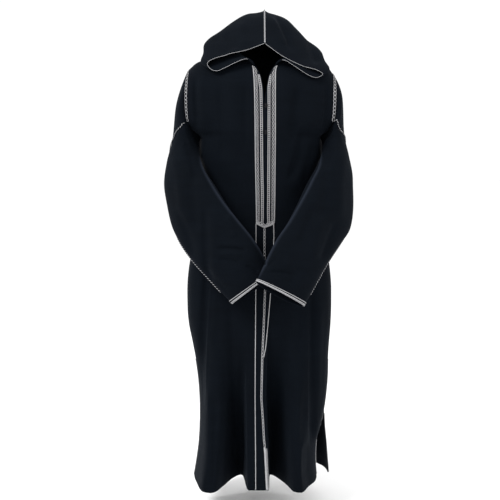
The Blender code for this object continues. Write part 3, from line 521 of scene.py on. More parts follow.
def form_y(x, z, face):
    """Depth of the front or back at a place below the rolled shoulders."""
    side = LEFT if x < 0 else RIGHT
    share = min(abs(x) / half_width(side, face, z), 1.0)
    depth = smooth(SECTIONS, "z", "front" if face == FRONT else "back", z)
    y = face * depth * (1 - share ** BOXINESS) ** (1 / BOXINESS)
    slit = ease((SLIT_TOP_Z - z) / SLIT_RUN)
    return y + fold_push(x, z, face, share) + face * SLIT_SPREAD * slit


def on_roll(x, angle, face):
    """Point on the rolled shoulder: angle 0 is the shoulder seam and 90 its foot."""
    top = smooth(SHOULDERS, "x", side_name(LEFT if x < 0 else RIGHT), abs(x))
    turn = math.radians(angle)
    z = ROLL_Z + (top - ROLL_Z) * math.cos(turn)
    return Vector((x, form_y(x, ROLL_Z, face) * math.sin(turn), z))


def on_form(x, z, face):
    return Vector((x, form_y(x, z, face), z))


def neck_station(side, face, angle):
    """Point of the neck seam and its angle on the rolled shoulder."""
    turn = math.radians(angle)
    x = side * NECK_HALF_WIDTH * math.cos(turn)
    depth = NECK_FRONT_DEPTH if face == FRONT else NECK_BACK_DEPTH
    roll = math.degrees(math.asin(depth * math.sin(turn) / abs(form_y(x, ROLL_Z, face))))
    return x, roll


def neck_normal(point):
    return Vector((0, NECK_WALL_TURN * point.y, 1)).normalized()


def outer_edge(side, face, z):
    """Distance of the armhole or the side seam from the middle."""
    if z >= ARMHOLE_FOOT_Z:
        return smooth(ARMHOLE, "z", side_name(side), z)
    return half_width(side, face, z)


# Coarse sheets: a grid of outer points, and the way to the wall's inner side at each

class Sheet:
    """Coarse grid of a piece's outer points, with the way to its inner side at each."""

    def __init__(self, points, flip=False, closed=False):
        self.points = points
        self.closed = closed
        self.flip = flip
        self.inward = [[self.normal(r, c) for c in range(len(points[0]))] for r in range(len(points))]

    def normal(self, r, c):
        """Inward direction from the neighbours in the grid."""
        rows = self.points
        count = len(rows[0])
        up = rows[max(r - 1, 0)][c]
        down = rows[min(r + 1, len(rows) - 1)][c]
        if self.closed:
            before = rows[r][(c - 1) % count]
            after = rows[r][(c + 1) % count]
        else:
            before = rows[r][max(c - 1, 0)]
            after = rows[r][min(c + 1, count - 1)]
        way = (down - up).cross(after - before)
        if way.length < 1e-12:
            way = Vector((0, 0, 1))
        way.normalize()
        return -way if self.flip else way


def roll_level(side, x, roll):
    """Height of a place on the rolled shoulder."""
    top = smooth(SHOULDERS, "x", side_name(side), x)
    return ROLL_Z + (top - ROLL_Z) * math.cos(math.radians(roll))


def front_columns(side, inner, outer, z):
    """Distances from the middle of a front panel's columns: trim edges, then the field."""
    trim = max(smooth(OPENING, "z", "trim_" + side_name(side), z), inner + TRIM_LEAST)
    xs = [inner + (trim - inner) * share for share in TRIM_SHARES]
    return xs + [trim + (outer - trim) * share for share in FIELD_SHARES[1:]]


def front_sheet(side):
    points = []
    roll = 0.0
    for k in range(ROLL_ROWS):
        if k < NECK_ROWS:
            x, roll = neck_station(side, FRONT, NECK_FRONT_ANGLES[k])
            level = roll_level(side, abs(x), roll)
            inner = abs(x)
            neck_roll = roll
        else:
            roll = neck_roll + (90 - neck_roll) * (k - NECK_ROWS + 1) / (ROLL_ROWS - NECK_ROWS)
            level = roll_level(side, 0.0, roll)
            inner = smooth(OPENING, "z", "half", level)
        outer = outer_edge(side, FRONT, roll_level(side, ARMHOLE_TOP_X, roll))
        xs = front_columns(side, inner, outer, level)
        points.append([on_roll(side * x, roll, FRONT) for x in xs])
    for z in ARM_ROWS + CHEST_ROWS + V_ROWS + SKIRT_LEVELS:
        inner = smooth(OPENING, "z", "half", z)
        xs = front_columns(side, inner, outer_edge(side, FRONT, z), z)
        row = []
        for x in xs:
            dip = V_DIP * max(1 - x / xs[TRIM_EDGE], 0) if z in V_ROWS else 0.0
            row.append(on_form(side * x, z - dip, FRONT))
        points.append(row)
    sheet = Sheet(points, flip=(side == RIGHT))
    dress_outer_edge(sheet, side, FRONT, len(points[0]) - 1)
    for r, row in enumerate(points):
        if r < NECK_ROWS:
            sheet.inward[r][0] = -neck_normal(row[0])
        else:
            way = sheet.inward[r][0]
            sheet.inward[r][0] = Vector((0, way.y, way.z)).normalized()
            row[0].x += side * SEAM_GAP / 2
    dress_shoulder_seam(sheet, FRONT, range(len(points[0])))
    return sheet


def armhole_inward(point):
    return Vector((0, -point.y, ARMHOLE_CENTRE_Z - point.z)).normalized()


def dress_outer_edge(sheet, side, face, c):
    """Turn the wall along the armhole and the side seam, and part the seam by its gap."""
    for r, row in enumerate(sheet.points):
        above = row[c].z - ARMHOLE_FOOT_Z
        if above > TINY:
            sheet.inward[r][c] = armhole_inward(row[c])
        elif above > -TINY:
            sheet.inward[r][c] = Vector((-side, 0, 1)).normalized()
        else:
            sheet.inward[r][c] = Vector((-side, 0, 0))
        if above < TINY:
            row[c].y += face * SEAM_GAP / 2


def dress_shoulder_seam(sheet, face, columns):
    for c in columns:
        sheet.inward[0][c] = Vector((0, 0, -1))
        sheet.points[0][c].y = face * SEAM_GAP / 2


def back_half(side, share, z):
    """One half of a row of the back, from the side to the middle."""
    rolled = z is None
    if rolled:
        outer = outer_edge(side, BACK, roll_level(side, ARMHOLE_TOP_X, 90 * share))
    else:
        outer = outer_edge(side, BACK, z)
    half = []
    for part in reversed(BACK_SHARES):
        x = side * (NECK_HALF_WIDTH + (outer - NECK_HALF_WIDTH) * part)
        half.append(on_roll(x, 90 * share, BACK) if rolled else on_form(x, z, BACK))
    for angle in NECK_BACK_ANGLES:
        x, top = neck_station(side, BACK, angle)
        half.append(on_roll(x, top + (90 - top) * share, BACK) if rolled else on_form(x, z, BACK))
    return half


def back_sheet():
    points = []
    levels = [(k / BACK_ROLL_ROWS, None) for k in range(BACK_ROLL_ROWS + 1)]
    levels += [(0, z) for z in ARM_ROWS + BACK_ROWS + SKIRT_LEVELS]
    for share, z in levels:
        left = back_half(LEFT, share, z)
        right = back_half(RIGHT, share, z)
        points.append(left + right[-2::-1])
    sheet = Sheet(points)
    last = len(points[0]) - 1
    dress_outer_edge(sheet, LEFT, BACK, 0)
    dress_outer_edge(sheet, RIGHT, BACK, last)
    dress_shoulder_seam(sheet, BACK, list(range(BACK_OUT + 1)) + list(range(last - BACK_OUT, last + 1)))
    for c in range(BACK_OUT + 1, last - BACK_OUT):
        sheet.inward[0][c] = -neck_normal(points[0][c])
    return sheet


def armhole_loop(front, back, side):
    """Points round the armhole: from the shoulder down the front, then up the back."""
    outer = 0 if side == LEFT else len(back.points[0]) - 1
    down = [row[-1].copy() for row in front.points if row[-1].z > ARMHOLE_FOOT_Z - TINY]
    up = [row[outer].copy() for row in back.points if row[outer].z > ARMHOLE_FOOT_Z - TINY]
    down[0].y = 0.0
    down[-1].y = 0.0
    return down + up[-2:0:-1], len(down) - 1


def loop_angles(loop, foot):
    """Angle of each point of the armhole, 0 at the shoulder and 180 at the foot, by length."""
    lengths = [0.0]
    for a, b in zip(loop, loop[1:] + loop[:1]):
        lengths.append(lengths[-1] + (b - a).length)
    half = lengths[foot]
    rest = lengths[-1] - half
    return [180 * d / half if d <= half else 180 + 180 * (d - half) / rest for d in lengths[:-1]]


def sleeve_ring(rings, k, angles):
    """Points round the sleeve at one ring of the table."""
    mids = [(Vector(ring.inner) + Vector(ring.outer)) / 2 for ring in rings]
    reach = (Vector(rings[k].outer) - Vector(rings[k].inner)) / 2
    along = mids[min(k + 1, len(rings) - 1)] - mids[max(k - 1, 0)]
    across = reach.cross(along).normalized()
    if across.y > 0:
        across = -across
    if k < len(SLEEVE_FACING):
        across = across.lerp(Vector((0, FRONT, 0)), SLEEVE_FACING[k]).normalized()
    points = []
    for angle in angles:
        turn = math.radians(angle)
        points.append(mids[k] + reach * math.cos(turn) + across * rings[k].thick * math.sin(turn))
    return points


def sleeve_sheet(side, front, back):
    rings = SLEEVE_RINGS[side]
    loop, foot = armhole_loop(front, back, side)
    angles = loop_angles(loop, foot)
    out = Vector((side, 0, 0))
    start = [p + out * SLEEVE_GAP for p in loop]
    shaped = [sleeve_ring(rings, k, angles) for k in range(len(rings))]
    centre = (Vector(rings[0].inner) + Vector(rings[0].outer)) / 2
    second = []
    for a, b, angle in zip(start, shaped[0], angles):
        p = a.lerp(b, SLEEVE_START_SHARE)
        away = Vector((p.x - centre.x, p.y - centre.y, 0)).normalized()
        facing = abs(math.sin(math.radians(angle)))
        top = (1 + math.cos(math.radians(angle))) / 2
        second.append(p + away * SLEEVE_START_PUFF * facing
                      + out * (SLEEVE_START_OUT * top + SLEEVE_FOOT_OUT))
    length = (Vector(rings[-1].outer) - Vector(rings[-2].outer)).length
    band_row = [b.lerp(a, CUFF_BAND / length) for a, b in zip(shaped[-2], shaped[-1])]
    sheet = Sheet([start, second] + shaped[:-1] + [band_row, shaped[-1]],
                  flip=(side == LEFT), closed=True)
    for c, point in enumerate(loop):
        sheet.inward[0][c] = armhole_inward(point)
    return sheet, angles


def through_three(a, b, c, s):
    """Point on the curve through three points, at shares 0, a half and 1."""
    return a * (2 * (s - 0.5) * (s - 1)) + b * (4 * s * (1 - s)) + c * (2 * s * (s - 0.5))


def neck_edge(side):
    """Points of the neck seam from the front corner round to the nape."""
    front = [on_roll(*neck_station(side, FRONT, angle), FRONT) for angle in NECK_FRONT_ANGLES]
    back = [on_roll(*neck_station(side, BACK, angle), BACK) for angle in NECK_BACK_ANGLES]
    return front[::-1] + back[1:]


def nape_seam(t, nape):
    a, b, c = nape, Vector(NAPE_SEAM[0]), Vector(NAPE_SEAM[1])
    d = Vector(PEAK)
    return a * (1 - t) ** 3 + b * 3 * t * (1 - t) ** 2 + c * 3 * t * t * (1 - t) + d * t ** 3


def seam_inward(path):
    """Direction from each point of a seam in the middle plane towards the inside of the hood."""
    out = []
    for i, point in enumerate(path):
        along = path[min(i + 1, len(path) - 1)] - path[max(i - 1, 0)]
        way = Vector((0, -along.z, along.y)).normalized()
        out.append(way if way.dot(Vector(HOOD_MIDDLE) - point) > 0 else -way)
    return out


def hood_sheet(side):
    ribs = HOOD_RIBS[side]
    edge = neck_edge(side)
    last = len(edge) - 1
    points = [[p + neck_normal(p) * HOOD_LIFT for p in edge]]
    for t in HOOD_ROW_SHARES:
        brim = smooth_point(ribs, "along", "brim", t)
        crown = smooth_point(ribs, "along", "crown", t)
        seam = nape_seam(t, edge[-1])
        points.append([through_three(brim, crown, seam, i / last) for i in range(last + 1)])
    sheet = Sheet(points, flip=(side == LEFT))
    for c, point in enumerate(edge):
        sheet.inward[0][c] = neck_normal(point)
    nape = [row[last] for row in points]
    for r, way in enumerate(seam_inward(nape)):
        if r > 0:
            sheet.inward[r][last] = way
    for c, way in enumerate(seam_inward(points[HOOD_ROWS])):
        corner = sheet.inward[HOOD_ROWS][last] if c == last else way
        sheet.inward[HOOD_ROWS][c] = (way + corner).normalized()
    for point in nape + points[HOOD_ROWS]:
        point.x = side * SEAM_GAP / 2
    return sheet


# Fine cloth on a coarse sheet

STEEPEST = 2.5


def curve_through(keys, values, at):
    """Values on a smooth curve through rows of numbers at uneven keys."""
    gaps = np.diff(keys)[:, None]
    rises = np.diff(values, axis=0) / gaps
    inner = (rises[:-1] * gaps[1:] + rises[1:] * gaps[:-1]) / (gaps[:-1] + gaps[1:])
    most = np.minimum(np.abs(rises[:-1]), np.abs(rises[1:])) * STEEPEST
    inner = np.clip(inner, -most, most)
    slopes = np.concatenate([2 * rises[:1] - inner[:1], inner, 2 * rises[-1:] - inner[-1:]])
    i = np.clip(np.searchsorted(keys, at, side="right") - 1, 0, len(keys) - 2)
    span = (keys[i + 1] - keys[i])[:, None]
    t = (at - keys[i])[:, None] / span
    return (values[i] * (1 + 2 * t) * (1 - t) ** 2 + slopes[i] * span * t * (1 - t) ** 2
            + values[i + 1] * t * t * (3 - 2 * t) - slopes[i + 1] * span * t * t * (1 - t))


def fine_steps(lengths, cell):
    """Places between coarse rows, close enough for the cell, as coarse row numbers."""
    out = []
    for i, row in enumerate(lengths):
        count = max(int(math.ceil(np.percentile(row, 80) / cell)), 1)
        out += [i + k / count for k in range(count)]
    return np.array(out + [float(len(lengths))])


def finer(values, lengths, cell):
    """Rows of numbers made finer along the first axis, and the coarse row number of each."""
    keys = np.concatenate([[0.0], np.cumsum(lengths.mean(axis=1))])
    numbers = fine_steps(lengths, cell)
    at = np.interp(numbers, np.arange(len(keys)), keys)
    flat = values.reshape(len(values), -1)
    return curve_through(keys, flat, at).reshape((len(at),) + values.shape[1:]), numbers


def between_cells(grids, rows, columns):
    """Values of each grid at places between its points."""
    r0 = np.clip(rows.astype(int), 0, grids[0].shape[0] - 2)
    c0 = np.clip(columns.astype(int), 0, grids[0].shape[1] - 2)
    out = []
    for grid in grids:
        across = columns - c0
        down = rows - r0
        if grid.ndim > 2:
            across = across[..., None]
            down = down[..., None]
        top = grid[r0, c0] * (1 - across) + grid[r0, c0 + 1] * across
        low = grid[r0 + 1, c0] * (1 - across) + grid[r0 + 1, c0 + 1] * across
        out.append(top * (1 - down) + low * down)
    return out


WRAP = 3


class Cloth:
    """Fine grid of one piece of cloth, which answers for places by coarse row and column."""

    def __init__(self, sheet, cell):
        points = np.array([[tuple(p) for p in row] for row in sheet.points])
        inward = np.array([[tuple(p) for p in row] for row in sheet.inward])
        both = np.concatenate([points, inward], axis=2)
        self.closed = sheet.closed
        self.flip = sheet.flip
        self.count = both.shape[1]
        if self.closed:
            both = np.concatenate([both[:, -WRAP:], both, both[:, :WRAP + 1]], axis=1)
        down = np.linalg.norm(np.diff(both[:, :, :3], axis=0), axis=2)
        both, self.rows = finer(both, down, cell)
        both = both.transpose(1, 0, 2)
        along = np.linalg.norm(np.diff(both[:, :, :3], axis=0), axis=2)
        both, self.columns = finer(both, along, cell)
        if self.closed:
            keep = (self.columns > WRAP - TINY) & (self.columns < WRAP + self.count + TINY)
            both = both[keep]
            self.columns = self.columns[keep] - WRAP
        both = both.transpose(1, 0, 2)
        self.points = both[:, :, :3].copy()
        self.inward = both[:, :, 3:].copy()
        self.inward /= np.linalg.norm(self.inward, axis=2, keepdims=True)
        # Mask toward the wool's lighter colour: the painted highlight along the sleeves' pressed edges, zero
        # elsewhere
        self.wear = np.zeros(self.points.shape[:2])
        self.measure()

    def measure(self):
        """Lengths along the rows and columns, and the outward direction, from the points."""
        along = np.linalg.norm(np.diff(self.points, axis=1), axis=2)
        down = np.linalg.norm(np.diff(self.points, axis=0), axis=2)
        self.across = np.concatenate([np.zeros((len(along), 1)), np.cumsum(along, axis=1)], axis=1)
        self.down = np.concatenate([np.zeros((1, down.shape[1])), np.cumsum(down, axis=0)], axis=0)
        if self.closed:
            wide = np.concatenate([self.points[:, -2:-1], self.points, self.points[:, 1:2]], axis=1)
            dc = (wide[:, 2:] - wide[:, :-2])
        else:
            dc = np.gradient(self.points, axis=1)
        dr = np.gradient(self.points, axis=0)
        out = np.cross(dc, dr)
        if self.flip:
            out = -out
        length = np.linalg.norm(out, axis=2, keepdims=True)
        self.out = np.where(length > 1e-12, out / np.maximum(length, 1e-12), -self.inward)

    def seam_hold(self, edges):
        """Share of a push that is let through: none at the named edges, all of it away from them."""
        hold = np.ones(self.points.shape[:2])
        if "top" in edges:
            hold *= eased(self.down / SEAM_HOLD)
        if "foot" in edges:
            hold *= eased((self.down[-1:] - self.down) / SEAM_HOLD)
        if "first" in edges:
            hold *= eased(self.across / SEAM_HOLD)
        if "last" in edges:
            hold *= eased((self.across[:, -1:] - self.across) / SEAM_HOLD)
        return hold

    def press(self, creases, face, hold, strength):
        """Push the cloth in along each crease on the side that faces front or back."""
        facing = eased(self.out[:, :, 1] * face * 2.2)
        x = self.points[:, :, 0]
        z = self.points[:, :, 2]
        push = np.zeros(x.shape)
        for crease in creases:
            run_x = crease.x1 - crease.x0
            run_z = crease.z1 - crease.z0
            length = math.hypot(run_x, run_z)
            t = ((x - crease.x0) * run_x + (z - crease.z0) * run_z) / length ** 2
            away = ((x - crease.x0) * run_z - (z - crease.z0) * run_x) / length
            away = away - crease.bow * 4 * t * (1 - t)
            width = np.where(away < 0, crease.width * (1 + crease.lean), crease.width * (1 - crease.lean))
            fade = eased(t / CREASE_FADE) * eased((1 - t) / CREASE_FADE)
            push += crease.depth * np.exp(-(away / width) ** 2) * fade
        self.points -= self.out * (push * facing * hold * strength)[:, :, None]
        self.measure()

    def at(self, rows, columns):
        """Points and outward directions at coarse rows and columns."""
        rows = np.asarray(rows, float)
        columns = np.asarray(columns, float)
        if self.closed:
            columns = np.mod(columns, self.count)
        r = np.interp(rows, self.rows, np.arange(len(self.rows)))
        c = np.interp(columns, self.columns, np.arange(len(self.columns)))
        points, normals = between_cells((self.points, self.out), r, c)
        return points, normals / np.linalg.norm(normals, axis=-1, keepdims=True)

    def column_at(self, rows, distances):
        """Coarse column at a distance along each row from its first column."""
        out = []
        for row, distance in zip(rows, distances):
            r = np.interp(row, self.rows, np.arange(len(self.rows)))
            r0 = min(int(r), len(self.rows) - 2)
            lengths = self.across[r0] * (1 - r + r0) + self.across[r0 + 1] * (r - r0)
            out.append(np.interp(distance, lengths, self.columns))
        return np.array(out)

    def distance_at(self, rows, column):
        """Distance along each row from its first column to a coarse column."""
        c = np.interp(column, self.columns, np.arange(len(self.columns)))
        c0 = min(int(c), len(self.columns) - 2)
        lengths = self.across[:, c0] * (1 - c + c0) + self.across[:, c0 + 1] * (c - c0)
        return np.interp(rows, self.rows, lengths)

    def rows_between(self, first, last, step):
        """Coarse row numbers between two rows, at most a step apart along the first column."""
        run = np.interp([first, last], self.rows, self.down[:, 0])
        count = max(int(abs(run[1] - run[0]) / step), 2)
        lengths = np.linspace(run[0], run[1], count + 1)
        return np.interp(lengths, self.down[:, 0], self.rows)


def row_of(sheet_rows, z):
    """Coarse row number of a level on the panels below the shoulders."""
    return float(np.interp(-z, [-level for level in sheet_rows], np.arange(len(sheet_rows))))


MADE = {}


def settings():
    return bpy.context.scene.djellaba_cloth, bpy.context.scene.djellaba_trim


def warp_middle(cloth):
    """Move the cloth beside the centre seam sideways, as the seam wanders."""
    x = cloth.points[:, :, 0]
    z = cloth.points[:, :, 2]
    shift = np.interp(-z, [-w.z for w in WANDER], [w.shift for w in WANDER])
    near = np.clip(1 - np.abs(x) / WANDER_REACH, 0, 1) ** 2
    cloth.points[:, :, 0] += shift * near
    cloth.measure()


UNDERARM_Z = -0.290
UNDERARM_REACH = 0.085
UNDERARM_Y = 0.036
UNDERARM_SPREAD = 0.026
UNDERARM_FULLNESS = 0.017


def fill_underarm(cloth):
    """Let the cloth of the body stand out behind each sleeve's inner edge."""
    x = cloth.points[:, :, 0]
    y = cloth.points[:, :, 1]
    z = cloth.points[:, :, 2]
    level = np.clip(1 - ((z - UNDERARM_Z) / UNDERARM_REACH) ** 2, 0, 1)
    depth = np.exp(-((y - UNDERARM_Y) / UNDERARM_SPREAD) ** 2)
    beside = eased((np.abs(x) - 0.10) / 0.06)
    cloth.points[:, :, 0] += np.sign(x) * UNDERARM_FULLNESS * level * depth * beside
    cloth.measure()


LOBE_Z = {LEFT: 0.036, RIGHT: 0.016}
LOBE_REACH = 0.032
LOBE_SHARE = 0.09
PEAK_LIFT = 0.010
PEAK_REACH = 0.100


def shape_hood(hood, side):
    """Draw in the hood's lobe at the side and lift its peak a little."""
    x = np.abs(hood.points[:, :, 0])
    z = hood.points[:, :, 2].copy()
    lobe = np.exp(-((z - LOBE_Z[side]) / LOBE_REACH) ** 2) * eased((x - 0.10) / 0.06)
    hood.points[:, :, 0] *= 1 - LOBE_SHARE * lobe
    hood.points[:, :, 2] += PEAK_LIFT * np.exp(-(x / PEAK_REACH) ** 4) * eased((z - 0.09) / 0.06)
    hood.measure()


# The pressed edge down the front of each sleeve: raised, with a painted highlight along it
PRESSED = 171
PRESSED_SPREAD = 5.0
PRESSED_RISE = 0.0022
PRESSED_HIGHLIGHT = 0.9
CUFF_BACK_DROP = 0.008


def make_cloths():
    """Every piece of cloth with its creases, made once."""
    if MADE:
        return MADE
    cloth_values = settings()[0]
    cell = cloth_values.cell
    depth = cloth_values.crease_depth
    coarse_fronts = {side: front_sheet(side) for side in (LEFT, RIGHT)}
    coarse_back = back_sheet()
    for side in (LEFT, RIGHT):
        front = Cloth(coarse_fronts[side], cell)
        warp_middle(front)
        fill_underarm(front)
        front.press(FRONT_CREASES, FRONT, front.seam_hold(("top", "first", "last")), depth)
        MADE["front", side] = front
    back = Cloth(coarse_back, cell)
    fill_underarm(back)
    back.press(BACK_CREASES, BACK, back.seam_hold(("top", "first", "last")), depth)
    MADE["back", 0] = back
    for side in (LEFT, RIGHT):
        sheet, angles = sleeve_sheet(side, coarse_fronts[side], coarse_back)
        arm = Cloth(sheet, cell)
        turned = np.interp(arm.columns, np.arange(len(angles) + 1), list(angles) + [360.0])
        drop_cuff(arm, turned)
        hold = arm.seam_hold(("top",))
        for face in (FRONT, BACK):
            arm.press(ARM_CREASES[side, face], face, hold, depth)
        press_edge(arm, turned, hold)
        MADE["sleeve", side] = arm
        hood = Cloth(hood_sheet(side), cell)
        shape_hood(hood, side)
        hold = hood.seam_hold(("top", "foot", "last"))
        for face in (FRONT, BACK):
            hood.press(HOOD_CREASES[face], face, hold, depth)
        MADE["hood", side] = hood
    return MADE


def drop_cuff(arm, turned):
    """Let the back half of the cuff hang a little lower than the front."""
    share = eased((arm.rows - 8.5) / 2.5)[:, None]
    behind = np.clip(-np.sin(np.radians(turned)), 0, 1)[None, :]
    ahead = arm.points[-1] - arm.points[-6]
    ahead /= np.linalg.norm(ahead, axis=1, keepdims=True)
    arm.points += ahead[None] * (share * behind * CUFF_BACK_DROP)[:, :, None]
    arm.measure()


def press_edge(arm, turned, hold):
    """Raise the pressed edge that runs down the front of the sleeve, and lay a painted highlight along it."""
    line = np.exp(-((turned - PRESSED) / PRESSED_SPREAD) ** 2)[None, :]
    run = (eased((arm.rows - 1.6) / 1.4) * eased((arm.rows[-1] - 0.6 - arm.rows) / 1.6))[:, None]
    arm.points += arm.out * (line * run * hold * PRESSED_RISE)[:, :, None]
    # Painted highlight: the pressed edge's line goes into the colour mask
    arm.wear = np.maximum(arm.wear, line * run * PRESSED_HIGHLIGHT)
    arm.measure()


# Meshes

def new_object(name, verts, faces, uvs, materials, marks=None, wear=None):
    """Object from points, faces and one UV pair for each face corner."""
    mesh = bpy.data.meshes.new(name)
    mesh.from_pydata(verts, [], faces)
    layer = mesh.uv_layers.new(name="UVMap")
    layer.data.foreach_set("uv", np.asarray(uvs, np.float32).ravel())
    # Point mask read by the wool's colour: wear at the cloth's rims and the painted highlight along pressed
    # edges
    if wear is not None:
        attribute = mesh.attributes.new("wear", "FLOAT", "POINT")
        attribute.data.foreach_set("value", np.asarray(wear, np.float32))
    for material in materials:
        mesh.materials.append(material)
    if marks is not None:
        mesh.polygons.foreach_set("material_index", np.asarray(marks, np.int32))
    mesh.shade_smooth()
    mesh.update()
    obj = bpy.data.objects.new(name, mesh)
    bpy.context.scene.collection.objects.link(obj)
    return obj


RIM = 0.0006
RIM_WEAR = 0.25
HEM_FOLD = 0.013
HEM_STEP = 0.003
HEM_SHARE = 0.8


def edge_loops(rows, count, closed):
    """Runs of grid places along the free edges, in the order that turns their faces outward."""
    top = [(0, c) for c in range(count)]
    foot = [(rows - 1, c) for c in range(count)]
    if closed:
        return [top[::-1], foot]
    left = [(r, 0) for r in range(1, rows - 1)]
    right = [(r, count - 1) for r in range(rows - 2, 0, -1)]
    return [top[::-1] + left + foot + right]


def cloth_object(name, cloth, folded, material):
    """Closed thin wall of a piece of cloth, with rounded edges and a turned hem."""
    wall = settings()[0].wall
    rows, count = cloth.points.shape[:2]
    if cloth.closed:
        count -= 1
    thick = np.full((rows, count), wall)
    near = cloth.down[-1:] - cloth.down
    sides = {"foot": near, "first": cloth.across, "last": cloth.across[:, -1:] - cloth.across}
    thick += wall * HEM_SHARE * (1 - eased((sides[folded][:, :count] - HEM_FOLD) / HEM_STEP))
    outer = cloth.points[:, :count]
    inner = outer + cloth.inward[:, :count] * thick[:, :, None]
    total = rows * count
    verts = np.concatenate([outer.reshape(-1, 3), inner.reshape(-1, 3)]).tolist()
    # Colour mask per point: the painted highlight of the pressed edges, with wear added at the rims below
    wear = np.concatenate([cloth.wear[:, :count].ravel()] * 2).tolist()
    r, c = np.meshgrid(np.arange(rows - 1), np.arange(count if cloth.closed else count - 1), indexing="ij")
    r = r.ravel()
    c = c.ravel()
    d = c + 1
    corners = [(r, c), (r, d), (r + 1, d), (r + 1, c)]
    quads = np.stack([row * count + column % count for row, column in corners], axis=1)
    uv = np.stack([cloth.across, cloth.down], axis=2)
    pairs = np.stack([uv[row, column] for row, column in corners], axis=1)
    outer_faces = quads
    inner_faces = quads[:, ::-1] + total
    outer_uv = pairs
    inner_uv = pairs[:, ::-1]
    if cloth.flip:
        outer_faces, inner_faces = outer_faces[:, ::-1], inner_faces[:, ::-1]
        outer_uv, inner_uv = outer_uv[:, ::-1], inner_uv[:, ::-1]
    faces = outer_faces.tolist() + inner_faces.tolist()
    uvs = outer_uv.reshape(-1, 2).tolist() + inner_uv.reshape(-1, 2).tolist()
    for loop in edge_loops(rows, count, cloth.closed):
        first = len(verts)
        for row, column in loop:
            inside = (min(max(row, 1), rows - 2), column if cloth.closed else min(max(column, 1), count - 2))
            away = outer[row, column] - outer[inside]
            away /= max(np.linalg.norm(away), 1e-9)
            middle = (outer[row, column] + inner[row, column]) / 2
            verts.append((middle + away * RIM).tolist())
            wear.append(float(cloth.wear[row, column]) + RIM_WEAR)
        size = len(loop)
        way = -1 if cloth.flip else 1
        for i in range(size):
            j = (i + 1) % size
            a = loop[i][0] * count + loop[i][1]
            b = loop[j][0] * count + loop[j][1]
            ends = (uv[loop[i]], uv[loop[j]])
            corner_uv = [ends[0], ends[1], ends[1], ends[0]]
            for face in ((a, b, first + j, first + i), (first + i, first + j, total + b, total + a)):
                faces.append(face[::way])
                uvs += [tuple(pair) for pair in corner_uv[::way]]
    return new_object(name, verts, faces, uvs, [material], wear=wear)


class Strip:
    """A band on the cloth: places by length along it, share across it and height above it."""

    def __init__(self, points, normals, room=None):
        self.points = points
        self.normals = normals
        self.room = room
        middle = points[:, points.shape[1] // 2]
        gaps = np.linalg.norm(np.diff(middle, axis=0), axis=1)
        self.lengths = np.concatenate([[0.0], np.cumsum(gaps)])
        self.length = self.lengths[-1]

    def at(self, along, across, lift):
        along = np.clip(along, 0, self.length)
        across = np.clip(across, 0, 1) + 0 * along
        r = np.interp(along, self.lengths, np.arange(len(self.lengths)))
        c = across * (self.points.shape[1] - 1)
        points, normals = between_cells((self.points, self.normals), r, c)
        normals = normals / np.linalg.norm(normals, axis=1, keepdims=True)
        keep = np.ones(len(along), bool)
        if self.room is not None:
            keep = between_cells((self.room,), r, c)[0] > SLIT_ROOM
        return points + normals * (np.zeros(len(along)) + lift)[:, None], normals, keep


def strip_through(lines, room=None):
    """Strip through lines side by side, each with its points and outward directions."""
    points, normals = (np.stack(part, axis=1) for part in zip(*lines))
    return Strip(points, normals, room)


LINE_HALF = 0.003


def line_strip(points, normals):
    """Strip of even width along a line of places."""
    ahead = np.gradient(points, axis=0)
    sideways = np.cross(ahead, normals)
    sideways /= np.linalg.norm(sideways, axis=1, keepdims=True)
    edges = (points - sideways * LINE_HALF, points, points + sideways * LINE_HALF)
    return strip_through([(edge, normals) for edge in edges])


class Threads:
    """Cords, tapes and stitches gathered into one mesh."""

    def __init__(self):
        self.verts = []
        self.faces = []
        self.uvs = []
        self.marks = []

    def tube(self, centres, normals, wide, tall, mark=PALE, sides=6, ring=False):
        """Round or flat cord along points, wide across and tall off the cloth."""
        count = len(centres)
        if count < 2:
            return
        if ring:
            ahead = np.roll(centres, -1, axis=0) - np.roll(centres, 1, axis=0)
        else:
            ahead = np.gradient(centres, axis=0)
        ahead /= np.maximum(np.linalg.norm(ahead, axis=1, keepdims=True), 1e-9)
        up = normals - ahead * (normals * ahead).sum(axis=1, keepdims=True)
        up /= np.maximum(np.linalg.norm(up, axis=1, keepdims=True), 1e-9)
        across = np.cross(ahead, up)
        turn = 2 * math.pi * (np.arange(sides) + 0.5) / sides
        wide = (np.zeros(count) + wide)[:, None, None]
        tall = (np.zeros(count) + tall)[:, None, None]
        grid = (centres[:, None] + across[:, None] * np.cos(turn)[None, :, None] * wide
                + up[:, None] * np.sin(turn)[None, :, None] * tall)
        start = len(self.verts)
        self.verts += grid.reshape(-1, 3).tolist()
        gaps = np.linalg.norm(np.diff(centres, axis=0), axis=1)
        along = np.concatenate([[0.0], np.cumsum(gaps)])
        if ring:
            along = np.append(along, along[-1] + np.linalg.norm(centres[0] - centres[-1]))
        spans = count if ring else count - 1
        for i in range(spans):
            j = (i + 1) % count
            for k in range(sides):
                n = (k + 1) % sides
                self.faces.append((start + i * sides + k, start + j * sides + k,
                                   start + j * sides + n, start + i * sides + n))
                self.uvs += [(along[i], k / sides), (along[i + 1], k / sides),
                             (along[i + 1], (k + 1) / sides), (along[i], (k + 1) / sides)]
                self.marks.append(mark)
        if not ring:
            for i, order in ((0, range(sides)), (count - 1, reversed(range(sides)))):
                self.faces.append(tuple(start + i * sides + k for k in order))
                self.uvs += [(along[i], 0.5)] * sides
                self.marks.append(mark)

    def run(self, strip, along, across, lift, wide, tall, mark=PALE, sides=6):
        """Cord over a strip, left out where the strip has no room."""
        points, normals, keep = strip.at(along, across, lift)
        start = 0
        while start < len(keep):
            if not keep[start]:
                start += 1
                continue
            stop = start
            while stop < len(keep) and keep[stop]:
                stop += 1
            if stop - start > 2:
                self.tube(points[start:stop], normals[start:stop], wide, tall, mark, sides)
            start = stop

    def build(self, name):
        materials = [make_silver_braid(), make_black_cord()]
        return new_object(name, self.verts, self.faces, self.uvs, materials, marks=self.marks)


